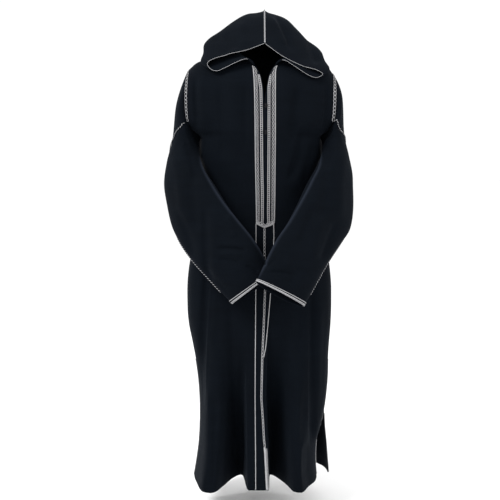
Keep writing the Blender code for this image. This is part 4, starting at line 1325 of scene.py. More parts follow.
def plait(threads, strip, form, pitch):
    """Three threads plaited over and under each other between two shares of the strip."""
    along = np.arange(0.0, strip.length, pitch / TURN_STEPS)
    middle = (form.low + form.high) / 2
    swing = (form.high - form.low) / 2
    for k in range(3):
        turn = 2 * math.pi * along / pitch + 2 * math.pi * k / 3
        slant = np.arcsin(np.sin(turn)) * 2 / math.pi
        across = middle + swing * ((1 - PLAIT_SLANT) * np.sin(turn) + PLAIT_SLANT * slant)
        height = form.lift + form.thread * 0.55 * np.sin(2 * turn)
        threads.run(strip, along, across, height, form.thread, form.thread * 0.62)


def twist(threads, strip, radius, pitch):
    """A pale and a dark thread laid round each other along the middle of the strip."""
    along = np.arange(0.0, strip.length, pitch / 8)
    width = np.linalg.norm(strip.points[0, -1] - strip.points[0, 0])
    for k, mark in enumerate((PALE, DARK)):
        turn = 2 * math.pi * along / pitch + math.pi * k
        threads.run(strip, along, 0.5 + radius * 0.55 * np.cos(turn) / width,
                    radius * 1.1 + radius * 0.55 * np.sin(turn), radius * 0.62, radius * 0.62, mark, 5)


def ladder(threads, strip, pitch):
    """Two rails with rungs between them."""
    along = np.arange(0.0, strip.length, STEP)
    share = RAIL / (CHEST_LADDER[1] - CHEST_LADDER[0])
    low, high = LADDER_SHARES
    for across in (low + share, high - share):
        threads.run(strip, along, across, RAIL_LIFT, RAIL, RUNG_LIFT)
    for place in np.arange(pitch / 2, strip.length, pitch):
        shares = np.linspace(low + share, high - share, 4)
        points, normals, keep = strip.at(np.full(4, place), shares, RUNG_LIFT)
        if keep.all():
            threads.tube(points, normals, pitch * RUNG_SHARE, RUNG_TALL)


def chain(threads, strip, first, last, link, pitch, width):
    """Oval links, each over the end of the one before."""
    turn = 2 * math.pi * np.arange(TURN_STEPS) / TURN_STEPS
    for centre in np.arange(first + pitch * LINK_HALF, last - pitch * 0.3, pitch):
        along = centre + pitch * LINK_HALF * np.cos(turn)
        across = link.middle + link.half / width * np.sin(turn)
        lift = link.thread * 0.75 + link.thread * 0.35 * np.cos(turn)
        points, normals, keep = strip.at(along, across, lift)
        if keep.all():
            threads.tube(points, normals, link.thread, link.thread * 0.65, PALE, 6, ring=True)


def flat_ground(threads, strip, low=0.0, high=1.0):
    """Thin dark ground that the threads are worked on."""
    shares = np.linspace(low, high, 5)
    lines = np.arange(0, strip.length, STEP)
    for a, b in zip(shares, shares[1:]):
        width = np.linalg.norm(strip.points[:, -1] - strip.points[:, 0], axis=1).mean() * (b - a)
        threads.run(strip, lines, (a + b) / 2, GROUND_LIFT, width * 0.62, GROUND_TALL, DARK, 4)


# Materials

class Value:
    """One socket's output, so that shader maths can be written as plain expressions."""

    def __init__(self, shader, socket):
        self.shader = shader
        self.socket = socket

    def maths(self, operation, first, second=0.0):
        return self.shader.node("ShaderNodeMath", {"operation": operation}, {0: first, 1: second})

    def __add__(self, other):
        return self.maths("ADD", self, other)

    def __sub__(self, other):
        return self.maths("SUBTRACT", self, other)

    def __rsub__(self, other):
        return self.maths("SUBTRACT", other, self)

    def __mul__(self, other):
        return self.maths("MULTIPLY", self, other)

    def __pow__(self, other):
        return self.maths("POWER", self, other)

    __radd__ = __add__
    __rmul__ = __mul__


class Shader:
    """Nodes of one material, round its Principled BSDF."""

    def __init__(self, name):
        self.material = bpy.data.materials.new(name)
        self.material.use_nodes = True
        self.tree = self.material.node_tree
        self.surface = self.tree.nodes["Principled BSDF"]

    def node(self, kind, choices=None, inputs=None, output=0):
        """A node with its choices set first, then its sockets' values or links."""
        made = self.tree.nodes.new(kind)
        for key, value in (choices or {}).items():
            if key == "stops":
                ramp = made.color_ramp
                while len(ramp.elements) < len(value):
                    ramp.elements.new(0.5)
                for element, (place, colour) in zip(ramp.elements, value):
                    element.position = place
                    element.color = (*colour, 1)
            else:
                setattr(made, key, value)
        for key, value in (inputs or {}).items():
            self.feed(made.inputs[key], value)
        return Value(self, made.outputs[output])

    def feed(self, socket, value):
        if isinstance(value, Value):
            self.tree.links.new(value.socket, socket)
        elif hasattr(value, "__len__") and len(value) == 3 and socket.type == "RGBA":
            socket.default_value = (*value, 1)
        else:
            socket.default_value = value

    def wave(self, value):
        """Sine of a value, from 0 to 1."""
        return value.maths("SINE", value) * 0.5 + 0.5

    def mix(self, factor, first, second):
        return self.node("ShaderNodeMix", {"data_type": "RGBA"}, {0: factor, 6: first, 7: second}, 2)

    def noise(self, where, scale, detail=3.0, rough=0.55):
        return self.node("ShaderNodeTexNoise", {}, {"Vector": where, "Scale": scale, "Detail": detail,
                                                    "Roughness": rough})

    def places(self):
        """The two parts of the UV map, and the place in the object."""
        uv = self.node("ShaderNodeTexCoord", output=2)
        place = self.node("ShaderNodeTexCoord", output=3)
        split = self.tree.nodes.new("ShaderNodeSeparateXYZ")
        self.feed(split.inputs[0], uv)
        return Value(self, split.outputs[0]), Value(self, split.outputs[1]), place

    def put(self, **values):
        for key, value in values.items():
            self.feed(self.surface.inputs[key.replace("_", " ")], value)


FINISHES = {}


def make_black_wool():
    """Black wool with a blue cast: a fine twill under a short nap, lighter where it is rubbed at the cut
    edges, and with a painted highlight along each sleeve's pressed edge.
    """
    if "wool" in FINISHES:
        return FINISHES["wool"]
    values = settings()[0]
    colour = tuple(values.colour)
    rubbed_and_highlight = tuple(values.rubbed_and_highlight)
    shader = Shader("black_wool")
    u, v, place = shader.places()
    turns = 2 * math.pi / values.twill
    twill = shader.wave((u + v) * turns)
    weft = shader.wave(v * (turns * 1.7))
    stretched = shader.node("ShaderNodeMapping", {}, {"Vector": place, "Scale": (9, 9, 60)})
    streaks = shader.noise(stretched, 1.0, 4.0, 0.6)
    cloudy = shader.noise(place, 5.0, 3.0)
    nap = shader.noise(place, 420.0, 3.0, 0.7)
    # Mask of the rubbed cut edges and of the painted highlight along the sleeves' pressed edges
    wear = shader.node("ShaderNodeAttribute", {"attribute_name": "wear"}, {}, 2)
    deep = tuple(c * 0.72 for c in colour)
    light = tuple(c * 1.45 for c in colour)
    tone = (cloudy - 0.5) * 0.9 + (streaks - 0.5) * 0.8 + (nap - 0.5) * 0.6 + 0.5
    base = shader.mix(tone, deep, light)
    base = shader.mix((twill * 0.22) * (weft * 0.5 + 0.5), base, light)
    # Painted highlight and wear: lighter toward the rubbed colour where the mask is set
    base = shader.mix(wear * (nap * 0.8 + 0.4), base, rubbed_and_highlight)
    height = twill * 0.35 + weft * 0.15 + nap * 0.8
    bump = shader.node("ShaderNodeBump", {}, {"Strength": 0.45, "Distance": 0.0006, "Height": height})
    shader.put(Base_Color=base, Roughness=nap * 0.12 + 0.80, Normal=bump)
    shader.put(Specular_IOR_Level=0.04, Sheen_Weight=0.018, Sheen_Roughness=0.4, Sheen_Tint=(0.58, 0.74, 1.0))
    FINISHES["wool"] = shader.material
    return shader.material


PLIES = 3


def twisted_thread(name, colour, groove_shade, rough, sheen, ply, specular):
    """Thread laid in slanting plies; its colour runs from the groove colour between the plies to the thread
    colour on them, with fibre and patch noise: painted shade in the grooves and painted light on the crests.
    """
    if name in FINISHES:
        return FINISHES[name]
    shader = Shader(name)
    u, v, place = shader.places()
    plies = shader.wave(u * (2 * math.pi / ply) + v * (2 * math.pi * PLIES))
    fibre = shader.noise(place, 900.0, 2.0, 0.6)
    patches = shader.noise(place, 60.0, 3.0, 0.6)
    # Painted shade: the colour darkens toward the groove colour between the plies
    tone = plies * 0.55 + fibre * 0.25 + patches * 0.35
    base = shader.mix(tone, groove_shade, colour)
    bump = shader.node("ShaderNodeBump", {}, {"Strength": 0.6, "Distance": 0.0004,
                                              "Height": plies * 0.8 + fibre * 0.3})
    shader.put(Base_Color=base, Roughness=fibre * 0.15 + rough, Normal=bump)
    shader.put(Specular_IOR_Level=specular, Sheen_Weight=sheen, Sheen_Roughness=0.4)
    FINISHES[name] = shader.material
    return shader.material


def make_silver_braid():
    values = settings()[1]
    return twisted_thread("silver_braid", tuple(values.colour), tuple(values.shadow), rough=0.42,
                          sheen=0.15, ply=0.0022, specular=0.5)


def make_black_cord():
    dark = tuple(settings()[1].cord_colour)
    # Painted highlight: the crests of the black cord's plies are 1.6 times lighter than its colour
    light = tuple(c * 1.6 for c in dark)
    return twisted_thread("black_cord", light, dark, rough=0.6, sheen=0.01, ply=0.0026, specular=0.12)


# Settings

class DjellabaCloth(PropertyGroup):
    """Sizes and colours of the wool."""
    wall: FloatProperty(name="Cloth thickness", description="Thickness of the wool",
                        default=0.002, min=0.001, max=0.004, unit="LENGTH", precision=4)
    cell: FloatProperty(name="Mesh cell", description="Size of a mesh cell on the cloth",
                        default=0.0056, min=0.003, max=0.02, unit="LENGTH", precision=4)
    crease_depth: FloatProperty(name="Crease depth", description="Share of the depth of the creases",
                                default=1.2, min=0.0, max=1.5, subtype="FACTOR")
    twill: FloatProperty(name="Twill line", description="Distance between the lines of the twill",
                         default=0.0017, min=0.0005, max=0.006, unit="LENGTH", precision=4)
    colour: FloatVectorProperty(name="Wool colour", description="Colour of the wool",
                                default=(0.0016, 0.0026, 0.0043), subtype="COLOR", min=0, max=1)
    # Colour of the rubbed cut edges and of the painted highlight along the sleeves' pressed edges
    rubbed_and_highlight: FloatVectorProperty(name="Rubbed colour",
                                description="Colour where the wool is pressed or rubbed",
                                default=(0.015, 0.019, 0.028), subtype="COLOR", min=0, max=1)


class DjellabaTrim(PropertyGroup):
    """Sizes and colours of the braids and cords."""
    colour: FloatVectorProperty(name="Braid colour", description="Colour of the pale thread",
                                default=(0.44, 0.44, 0.45), subtype="COLOR", min=0, max=1)
    shadow: FloatVectorProperty(name="Braid shadow",
                                description="Colour between the plies of the pale thread",
                                default=(0.09, 0.09, 0.10), subtype="COLOR", min=0, max=1)
    cord_colour: FloatVectorProperty(name="Cord colour", description="Colour of the black silk cord",
                                     default=(0.003, 0.003, 0.004), subtype="COLOR", min=0, max=1)
    plait_pitch: FloatProperty(name="Plait length",
                               description="Length in which a thread of the plait returns",
                               default=0.0380, min=0.008, max=0.06, unit="LENGTH", precision=4)
    ladder_pitch: FloatProperty(name="Ladder step",
                                description="Distance between the rungs of the ladder braid",
                                default=0.0067, min=0.003, max=0.02, unit="LENGTH", precision=4)
    chain_pitch: FloatProperty(name="Link length", description="Distance between the links of the chain",
                               default=0.0112, min=0.004, max=0.03, unit="LENGTH", precision=4)
    armhole_pitch: FloatProperty(name="Armhole link length",
                                 description="Distance between the armhole's links",
                                 default=0.0120, min=0.004, max=0.03, unit="LENGTH", precision=4)
    cord_radius: FloatProperty(name="Cord radius", description="Radius of the thin cords",
                               default=0.0013, min=0.0008, max=0.004, unit="LENGTH", precision=4)


class DjellabaStage(PropertyGroup):
    """Floor and light."""
    floor_drop: FloatProperty(name="Floor below hem", description="Distance of the floor below the hem",
                              default=0.10, min=0.0, max=1.0, unit="LENGTH")
    floor_colour: FloatVectorProperty(name="Floor colour", description="Colour of the floor",
                                      default=(0.98, 0.98, 0.98), subtype="COLOR", min=0, max=1)
    key_power: FloatProperty(name="Key light", description="Power of the large light above the front",
                             default=165.0, min=0.0, max=2000.0, unit="POWER")
    fill_power: FloatProperty(name="Fill light", description="Power of the softer light at the other side",
                              default=40.0, min=0.0, max=2000.0, unit="POWER")
    world: FloatProperty(name="Room light", description="Strength of the light all round",
                         default=1.05, min=0.0, max=5.0)


def place_piece(obj, node):
    """Fix a piece to the robe's body, in place of its solid."""
    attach(obj, BODY)
    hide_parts(node)


def place_trim(threads, node, piece=None):
    """Make a trim from its threads, in place of its solid."""
    place_piece(threads.build(piece or "silver_" + node), node)


Cut = namedtuple("Cut", "width length area")


def place_cloth(node, cloth, folded):
    """Make a piece of wool in place of its solid."""
    obj = cloth_object("wool_" + node, cloth, folded, make_black_wool())
    place_piece(obj, node)


# Operators

class DJELLABA_OT_fronts(Operator):
    """Make the two front halves of wool"""
    bl_idname = "djellaba.fronts"
    bl_label = "Front halves"

    def execute(self, context):
        cloths = make_cloths()
        for side in (LEFT, RIGHT):
            rests = ["back", "sleeve_" + side_name(side)]
            place_cloth("front_" + side_name(side), cloths["front", side], "foot")
        return {"FINISHED"}


class DJELLABA_OT_back(Operator):
    """Make the back panel of wool"""
    bl_idname = "djellaba.back"
    bl_label = "Back"

    def execute(self, context):
        place_cloth("back", make_cloths()["back", 0], "foot")
        return {"FINISHED"}


class DJELLABA_OT_sleeves(Operator):
    """Make the two sleeves of wool"""
    bl_idname = "djellaba.sleeves"
    bl_label = "Sleeves"

    def execute(self, context):
        cloths = make_cloths()
        for side in (LEFT, RIGHT):
            rests = ["front_" + side_name(side), "back"]
            place_cloth("sleeve_" + side_name(side), cloths["sleeve", side], "foot")
        return {"FINISHED"}


class DJELLABA_OT_hood(Operator):
    """Make the two halves of the hood"""
    bl_idname = "djellaba.hood"
    bl_label = "Hood"

    def execute(self, context):
        cloths = make_cloths()
        for side in (LEFT, RIGHT):
            rests = ["front_" + side_name(side), "back"]
            place_cloth("hood_" + side_name(side), cloths["hood", side], "first")
        return {"FINISHED"}


def panel_level_row(z):
    """Coarse row of a front panel at a level below the rolled shoulders."""
    levels = [ROLL_Z] + list(ARM_ROWS + CHEST_ROWS + V_ROWS + SKIRT_LEVELS)
    return ROLL_ROWS - 1 + row_of(levels, z)


def chest_strip(front, nearest, farthest):
    """Strip of a front panel between two distances from the trim's outer edge."""
    rows = front.rows_between(BRAID_TOP, FOOT_ROW + 0.6, 0.004)
    start = np.interp(rows, [BRAID_TOP, NECK_ROWS - 1], [0.0, TRIM_LEAST])
    edge = np.where(rows < NECK_ROWS - 1, start, front.distance_at(rows, TRIM_EDGE))
    near = np.full(len(rows), nearest)
    far = np.full(len(rows), farthest)
    if nearest > 0:
        far = np.minimum(farthest, edge - NECK_ROOM)
        near = np.minimum(nearest, np.maximum(far - farthest + nearest, CHEST_BRAID + TRIM_PART))
    lines = []
    room = []
    for share in np.linspace(0, 1, 5):
        distance = edge - near - (far - near) * share
        lines.append(front.at(rows, front.column_at(rows, np.maximum(distance, 0))))
        room.append(far - near if nearest > 0 else distance)
    return strip_through(lines, np.stack(room, axis=1))


class DJELLABA_OT_chest_braids(Operator):
    """Make the wide plaited braid and the ladder braid on each side of the front slit"""
    bl_idname = "djellaba.chest_braids"
    bl_label = "Chest braids"

    def execute(self, context):
        values = settings()[1]
        cloths = make_cloths()
        for side in (LEFT, RIGHT):
            front = cloths["front", side]
            strip = chest_strip(front, 0.0, CHEST_BRAID)
            threads = Threads()
            flat_ground(threads, strip)
            along = np.arange(0, strip.length, STEP)
            threads.run(strip, along, EDGE_CORD * EDGE_INSET / CHEST_BRAID, EDGE_LIFT, EDGE_CORD, EDGE_TALL)
            plait(threads, strip, CHEST_PLAIT, values.plait_pitch)
            place_trim(threads, "chest_braid_" + side_name(side), "braid_chest_" + side_name(side))
            strip = chest_strip(front, *CHEST_LADDER)
            threads = Threads()
            flat_ground(threads, strip)
            ladder(threads, strip, values.ladder_pitch)
            place_trim(threads, "chest_ladder_" + side_name(side), "braid_ladder_" + side_name(side))
        return {"FINISHED"}


def middle_line(left, right):
    """Places midway between two lines that meet at a seam."""
    way = left[1] + right[1]
    return (left[0] + right[0]) / 2, way / np.linalg.norm(way, axis=1, keepdims=True)


def both_sides(fronts, rows, distances):
    """Strip across the centre seam between distances from it, negative ones on the left half."""
    lines = []
    for distance in distances:
        if abs(distance) < TINY:
            lines.append(middle_line(*(fronts[side].at(rows, np.zeros(len(rows))) for side in (LEFT, RIGHT))))
        else:
            front = fronts[LEFT if distance < 0 else RIGHT]
            lines.append(front.at(rows, front.column_at(rows, np.full(len(rows), abs(distance)))))
    return strip_through(lines)


def slit_foot_strip(fronts):
    """Strip that turns round the foot of the slit, from the left braid to the right one."""
    down = np.linspace(TRIM_EDGE, 0, SLIT_FOOT_PLACES)
    columns = {LEFT: down, RIGHT: np.linspace(0, TRIM_EDGE, SLIT_FOOT_PLACES)[1:]}
    lines = []
    for row in np.linspace(FOOT_ROW - SLIT_FOOT_ABOVE, FOOT_ROW + 1.0, 4):
        halves = [fronts[side].at(np.full(len(columns[side]), row), columns[side]) for side in (LEFT, RIGHT)]
        lines.append([np.concatenate(part) for part in zip(*halves)])
    return strip_through(lines)


class DJELLABA_OT_centre_trims(Operator):
    """Make the braid round the foot of the slit, the centre chain and the front cords"""
    bl_idname = "djellaba.centre_trims"
    bl_label = "Centre trims"

    def execute(self, context):
        values = settings()[1]
        cloths = make_cloths()
        fronts = {side: cloths["front", side] for side in (LEFT, RIGHT)}
        strip = slit_foot_strip(fronts)
        threads = Threads()
        along = np.arange(0, strip.length, FINE_STEP)
        threads.run(strip, along, *SLIT_FOOT_CORD)
        plait(threads, strip, SLIT_FOOT_PLAIT, values.plait_pitch)
        place_trim(threads, "slit_foot_braid", "braid_slit_foot")
        self.make_chain(fronts, values)
        self.make_cords(fronts, values)
        return {"FINISHED"}

    def make_chain(self, fronts, values):
        rows = fronts[LEFT].rows_between(FOOT_ROW + 1.02, len(SKIRT_LEVELS) + FOOT_ROW + 1, STEP)
        strip = both_sides(fronts, rows, [CHAIN_ROOM * share for share in (-1, -0.5, 0.0, 0.5, 1)])
        tape_row = panel_level_row(TAPE_TOP_Z)
        tape = float(np.interp(tape_row, rows, strip.lengths))
        threads = Threads()
        chain(threads, strip, 0.0, tape, CENTRE_LINK, values.chain_pitch, 2 * CHAIN_ROOM)
        along = np.arange(tape - STEP, strip.length, FINE_STEP)
        threads.run(strip, along, *HEM_TAPE)
        chain(threads, strip, tape, strip.length, HEM_LINK, HEM_LINK_PITCH, 2 * CHAIN_ROOM)
        place_trim(threads, "centre_chain", "braid_centre_chain")

    def make_cords(self, fronts, values):
        radius = values.cord_radius
        for side in (LEFT, RIGHT):
            front = fronts[side]
            last = len(SKIRT_LEVELS) + FOOT_ROW + 1
            if side == RIGHT:
                last = panel_level_row(RIGHT_CORD[-1].z)
            rows = front.rows_between(FOOT_ROW + 1.0, last, STEP)
            if side == LEFT:
                columns = np.full(len(rows), float(TRIM_EDGE))
            else:
                levels = front.at(rows, np.full(len(rows), 1.0))[0][:, 2]
                distance = np.interp(-levels, [-c.z for c in RIGHT_CORD], [c.distance for c in RIGHT_CORD])
                columns = front.column_at(rows, distance)
            strip = line_strip(*front.at(rows, columns))
            threads = Threads()
            along = np.arange(0, strip.length, STEP)
            threads.run(strip, along, 0.5, radius * CORD_TALL, radius * CORD_WIDE, radius * CORD_TALL)
            place_trim(threads, "front_cord_" + side_name(side))


class DJELLABA_OT_armhole_braids(Operator):
    """Make the braid round each armhole"""
    bl_idname = "djellaba.armhole_braids"
    bl_label = "Armhole braids"

    def execute(self, context):
        values = settings()[1]
        cloths = make_cloths()
        back = cloths["back", 0]
        for side in (LEFT, RIGHT):
            front = cloths["front", side]
            width = ARMHOLE_BRAID[side]
            strip = self.strip(front, back, side, width)
            thread = ARMHOLE_THREAD[side]
            threads = Threads()
            flat_ground(threads, strip, 0.05, 0.95)
            link = Link(0.5, width / 2 - thread * 1.2, thread)
            chain(threads, strip, 0.0, strip.length, link, values.armhole_pitch, width)
            place_trim(threads, "armhole_braid_" + side_name(side))
        return {"FINISHED"}

    def strip(self, front, back, side, width):
        """Up the back of the armhole and down its front, a braid's width in from the edge."""
        foot = float(np.interp(-ARMHOLE_BRAID_FOOT_Z, -front.points[:, -1, 2], front.rows))
        down = np.linspace(ARMHOLE_BRAID_TOP, foot, ARMHOLE_PLACES)
        edge = 0 if side == LEFT else -1
        foot = float(np.interp(-ARMHOLE_BRAID_FOOT_Z, -back.points[:, edge, 2], back.rows))
        up = np.linspace(foot, ARMHOLE_BRAID_TOP, ARMHOLE_PLACES)
        lines = []
        for share in np.linspace(0, 1, 5):
            inset = ARMHOLE_INSET + width * (1 - share)
            row_total = np.interp(up, back.rows, back.across[:, -1])
            distance = np.full(len(up), inset) if side == LEFT else row_total - inset
            behind = back.at(up, back.column_at(up, distance))
            row_total = np.interp(down, front.rows, front.across[:, -1])
            ahead = front.at(down, front.column_at(down, row_total - inset))
            lines.append([np.concatenate(part) for part in zip(behind, ahead)])
        return strip_through(lines)


def evened(values):
    """Running mean, with the ends held."""
    return np.convolve(np.pad(values, 4, mode="edge"), np.ones(9) / 9, mode="valid")


class DJELLABA_OT_sleeve_trims(Operator):
    """Make the dotted piping of each sleeve's seam and the braid round its cuff"""
    bl_idname = "djellaba.sleeve_trims"
    bl_label = "Sleeve trims"

    def execute(self, context):
        cloths = make_cloths()
        for side in (LEFT, RIGHT):
            arm = cloths["sleeve", side]
            self.make_piping(arm, side)
            self.make_cuff(arm, side)
        return {"FINISHED"}

    def nearest(self, arm, x, z):
        """Ring and column of the front of the sleeve that a viewer sees at a place."""
        away = np.hypot(arm.points[:, :, 0] - x, arm.points[:, :, 2] - z)
        away[arm.out[:, :, 1] > -0.1] = 9.0
        r, c = np.unravel_index(np.argmin(away), away.shape)
        return Stop(float(arm.rows[r]), float(arm.columns[c]))

    def make_piping(self, arm, side):
        x0, z0, x1, z1 = SLEEVE_SEAM_TOP[side]
        path = [self.nearest(arm, x0 + (x1 - x0) * t, z0 + (z1 - z0) * t) for t in SEAM_TOP_SHARES]
        path += SEAM_PATH
        rings = []
        columns = []
        for a, b in zip(path, path[1:]):
            shares = np.linspace(0, 1, SEAM_PLACES)[:-1]
            rings += (a.ring + (b.ring - a.ring) * shares).tolist()
            columns += (a.column + (b.column - a.column) * shares).tolist()
        strip = line_strip(*arm.at(evened(rings), evened(columns)))
        threads = Threads()
        twist(threads, strip, PIPING_RADIUS, PIPING_PITCH)
        place_trim(threads, "sleeve_piping_" + side_name(side))

    def make_cuff(self, arm, side):
        columns = np.linspace(0, arm.count, CUFF_PLACES)
        strip = strip_through([arm.at(np.full(len(columns), row), columns)
                               for row in np.linspace(*CUFF_ROWS, 4)])
        threads = Threads()
        along = np.arange(0, strip.length, STEP)
        for cord in CUFF_CORDS:
            threads.run(strip, along, *cord)
        chain(threads, strip, 0.0, strip.length, CUFF_LINK, CUFF_LINK_PITCH, CUFF_WIDTH)
        place_trim(threads, "cuff_braid_" + side_name(side))


class DJELLABA_OT_hood_trims(Operator):
    """Make the piping round the hood's brim and the braid on its ridge"""
    bl_idname = "djellaba.hood_trims"
    bl_label = "Hood trims"

    def execute(self, context):
        values = settings()[1]
        cloths = make_cloths()
        wall = settings()[0].wall
        for side in (LEFT, RIGHT):
            hood = cloths["hood", side]
            rows = hood.rows_between(0.85, HOOD_ROWS, 0.004)
            edge, out = hood.at(rows, np.zeros(len(rows)))
            inside = hood.at(rows, np.full(len(rows), 0.25))[0]
            ahead = edge - inside
            ahead -= out * (ahead * out).sum(axis=1, keepdims=True)
            ahead /= np.linalg.norm(ahead, axis=1, keepdims=True)
            strip = line_strip(edge - out * wall * BRIM_DEPTH + ahead * BRIM_RADIUS, ahead)
            threads = Threads()
            along = np.arange(0, strip.length, FINE_STEP)
            threads.run(strip, along, 0.5, BRIM_RADIUS, BRIM_RADIUS, BRIM_RADIUS)
            place_trim(threads, "brim_piping_" + side_name(side))
        columns = np.linspace(0, len(NECK_FRONT_ANGLES) + len(NECK_BACK_ANGLES) - 3, RIDGE_PLACES)
        rows = np.full(len(columns), float(HOOD_ROWS))
        strip = line_strip(*middle_line(*(cloths["hood", side].at(rows, columns) for side in (LEFT, RIGHT))))
        threads = Threads()
        chain(threads, strip, 0.0, strip.length, RIDGE_LINK, values.chain_pitch * 0.5, 2 * LINE_HALF)
        place_trim(threads, "ridge_braid")
        return {"FINISHED"}


class DJELLABA_OT_side_pipings(Operator):
    """Make the piping of the side seams and side slits"""
    bl_idname = "djellaba.side_pipings"
    bl_label = "Side pipings"

    def execute(self, context):
        cloths = make_cloths()
        for side in (LEFT, RIGHT):
            self.make(cloths["front", side], -1, side, FRONT, PIPING_TOP_Z)
            self.make(cloths["back", 0], 0 if side == LEFT else -1, side, BACK, SLIT_TOP_Z - SLIT_START)
        return {"FINISHED"}

    def make(self, cloth, column, side, face, top):
        line = cloth.points[:, column]
        line = line[line[:, 2] < top]
        way = np.array((-side, -face, 0.0)) / math.sqrt(2)
        strip = line_strip(line - way * SIDE_PIPING_OUT, np.tile(-way, (len(line), 1)))
        threads = Threads()
        along = np.arange(0, strip.length, STEP)
        threads.run(strip, along, *SIDE_CORD)
        place_trim(threads, "side_piping_" + ("front_" if face == FRONT else "back_") + side_name(side))


class DJELLABA_OT_knots(Operator):
    """Make the two black knot buttons and their loops on the slit"""
    bl_idname = "djellaba.knots"
    bl_label = "Knot buttons"

    def execute(self, context):
        cloths = make_cloths()
        for i, z in enumerate(KNOT_PLACES):
            front = cloths["front", RIGHT]
            row = panel_level_row(z)
            point, normal = front.at([row], front.column_at([row], [KNOT_X]))
            threads = Threads()
            self.knot(threads, point[0] + normal[0] * KNOT_LIFT)
            self.loop(threads, cloths, row)
            name = "knot_%d" % (i + 1)
            place_trim(threads, name, "black_" + name)
        return {"FINISHED"}

    def knot(self, threads, centre):
        """Cord wound into a ball, over and under itself."""
        turn = 2 * math.pi * np.arange(KNOT_STEPS) / KNOT_STEPS
        swirl = 1 + KNOT_SWIRL * np.cos(7 * turn)
        tilt = KNOT_TILT * np.sin(5 * turn) * math.pi / 2
        wide, deep, tall = KNOT_SIZE
        path = np.stack([wide * swirl * np.cos(4 * turn) * np.cos(tilt),
                         deep * swirl * np.sin(4 * turn) * np.cos(tilt),
                         tall * swirl * np.sin(tilt)], axis=1)
        normals = path / np.maximum(np.linalg.norm(path, axis=1, keepdims=True), 1e-9)
        threads.tube(path + centre, normals, KNOT_CORD, KNOT_CORD, DARK, 6, ring=True)
        levels = np.linspace(-1, 1, 9)
        ball = levels[:, None] * np.array((0, 0, KNOT_CORE_HALF))
        core = deep * np.sqrt(np.maximum(1 - levels ** 2, 0.02))
        threads.tube(ball + centre, np.tile((0.0, -1.0, 0.0), (9, 1)), core, core, DARK, 8)

    def loop(self, threads, cloths, row):
        """Loop of cord from the left edge round the knot."""
        turn = np.linspace(-LOOP_TURN, LOOP_TURN, 26)
        across = -KNOT_X + LOOP_REACH * np.cos(turn)
        places = []
        for distance, drop in zip(across, LOOP_DROP * np.sin(turn)):
            front = cloths["front", LEFT if distance < 0 else RIGHT]
            r = row + drop / LOOP_ROW
            point, normal = front.at([r], front.column_at([r], [abs(distance)]))
            places.append((point[0] + normal[0] * LOOP_LIFT, normal[0]))
        points, normals = (np.array(part) for part in zip(*places))
        threads.tube(points, normals, LOOP_CORD, LOOP_CORD, DARK, 6)


# Stage

CAMERA_PLACE = (-0.03, -3.30, -0.25)
CAMERA_AIM = (-0.048, -0.10, -0.61)
CAMERA_LENS = 69.84
SENSOR = 36.0
FLOOR_SIZE = 60.0


def point_at(obj, aim):
    way = Vector(aim) - obj.location
    obj.rotation_euler = way.to_track_quat("-Z", "Y").to_euler()


def add_light(name, place, aim, size, power):
    data = bpy.data.lights.new(name, "AREA")
    data.shape = "RECTANGLE"
    data.size = size[0]
    data.size_y = size[1]
    data.energy = power
    obj = bpy.data.objects.new(name, data)
    obj.location = place
    bpy.context.scene.collection.objects.link(obj)
    point_at(obj, aim)
    return obj


# Each light's place, the point it faces, and its width and height
KEY_LIGHT = ((-2.4, -1.9, 2.3), (0, 0, -0.4), (1.4, 1.4))
FILL_LIGHT = ((2.6, -1.6, 0.8), (0, 0, -0.6), (1.0, 1.8))


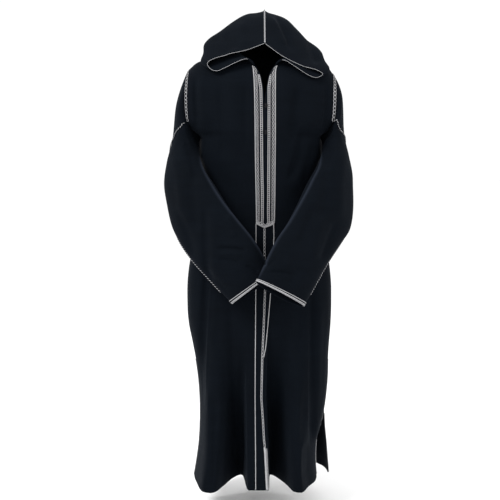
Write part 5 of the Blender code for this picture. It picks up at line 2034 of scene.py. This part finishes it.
class DJELLABA_OT_stage(Operator):
    """Make the floor, the lights and the camera"""
    bl_idname = "djellaba.stage"
    bl_label = "Floor, lights and camera"

    def execute(self, context):
        values = context.scene.djellaba_stage
        half = FLOOR_SIZE / 2
        level = HEM_Z - values.floor_drop
        mesh = bpy.data.meshes.new("floor")
        corners = ((-half, -half), (half, -half), (half, half), (-half, half))
        mesh.from_pydata([(x, y, level) for x, y in corners],
                         [], [(0, 1, 2, 3)])
        shader = Shader("pale_floor")
        place = shader.node("ShaderNodeTexCoord", output=3)
        grain = shader.noise(place, 30.0)
        colour = tuple(values.floor_colour)
        shader.put(Base_Color=shader.mix(grain * 0.1, colour, tuple(c * 0.97 for c in colour)), Roughness=0.9,
                   Specular_IOR_Level=0.1)
        mesh.materials.append(shader.material)
        floor = bpy.data.objects.new("floor", mesh)
        context.scene.collection.objects.link(floor)
        self.light(context, values)
        self.place_camera(context)
        return {"FINISHED"}

    def light(self, context, values):
        world = bpy.data.worlds.new("room")
        world.use_nodes = True
        background = world.node_tree.nodes["Background"]
        background.inputs["Color"].default_value = (1.0, 1.0, 1.0, 1)
        background.inputs["Strength"].default_value = values.world
        context.scene.world = world
        context.scene.view_settings.view_transform = "Standard"
        add_light("key_light", *KEY_LIGHT, values.key_power)
        add_light("fill_light", *FILL_LIGHT, values.fill_power)

    def place_camera(self, context):
        data = bpy.data.cameras.new("camera")
        data.lens = CAMERA_LENS
        data.sensor_width = SENSOR
        camera = bpy.data.objects.new("camera", data)
        camera.location = CAMERA_PLACE
        context.scene.collection.objects.link(camera)
        point_at(camera, CAMERA_AIM)
        context.scene.camera = camera


OPERATORS = (
    DJELLABA_OT_fronts,
    DJELLABA_OT_back,
    DJELLABA_OT_sleeves,
    DJELLABA_OT_hood,
    DJELLABA_OT_chest_braids,
    DJELLABA_OT_centre_trims,
    DJELLABA_OT_armhole_braids,
    DJELLABA_OT_sleeve_trims,
    DJELLABA_OT_hood_trims,
    DJELLABA_OT_side_pipings,
    DJELLABA_OT_knots,
    DJELLABA_OT_stage,
)


class DJELLABA_PT_panel(Panel):
    """Pieces of the djellaba and the values that they are made with"""
    bl_idname = "DJELLABA_PT_panel"
    bl_label = "Djellaba"
    bl_space_type = "VIEW_3D"
    bl_region_type = "UI"
    bl_category = "Djellaba"

    def draw(self, context):
        scene = context.scene
        for group in (scene.djellaba_cloth, scene.djellaba_trim, scene.djellaba_stage):
            box = self.layout.box()
            for name in group.__annotations__:
                box.prop(group, name)
        for operator in OPERATORS:
            self.layout.operator(operator.bl_idname)


CLASSES = (DjellabaCloth, DjellabaTrim, DjellabaStage) + OPERATORS + (DJELLABA_PT_panel,)


def register():
    for made in CLASSES:
        bpy.utils.register_class(made)
    bpy.types.Scene.djellaba_cloth = PointerProperty(type=DjellabaCloth)
    bpy.types.Scene.djellaba_trim = PointerProperty(type=DjellabaTrim)
    bpy.types.Scene.djellaba_stage = PointerProperty(type=DjellabaStage)


def unregister():
    del bpy.types.Scene.djellaba_stage
    del bpy.types.Scene.djellaba_trim
    del bpy.types.Scene.djellaba_cloth
    for made in reversed(CLASSES):
        bpy.utils.unregister_class(made)


def main():
    register()
    for operator in OPERATORS:
        group, name = operator.bl_idname.split(".")
        getattr(getattr(bpy.ops, group), name)()


if __name__ == "__main__":
    main()
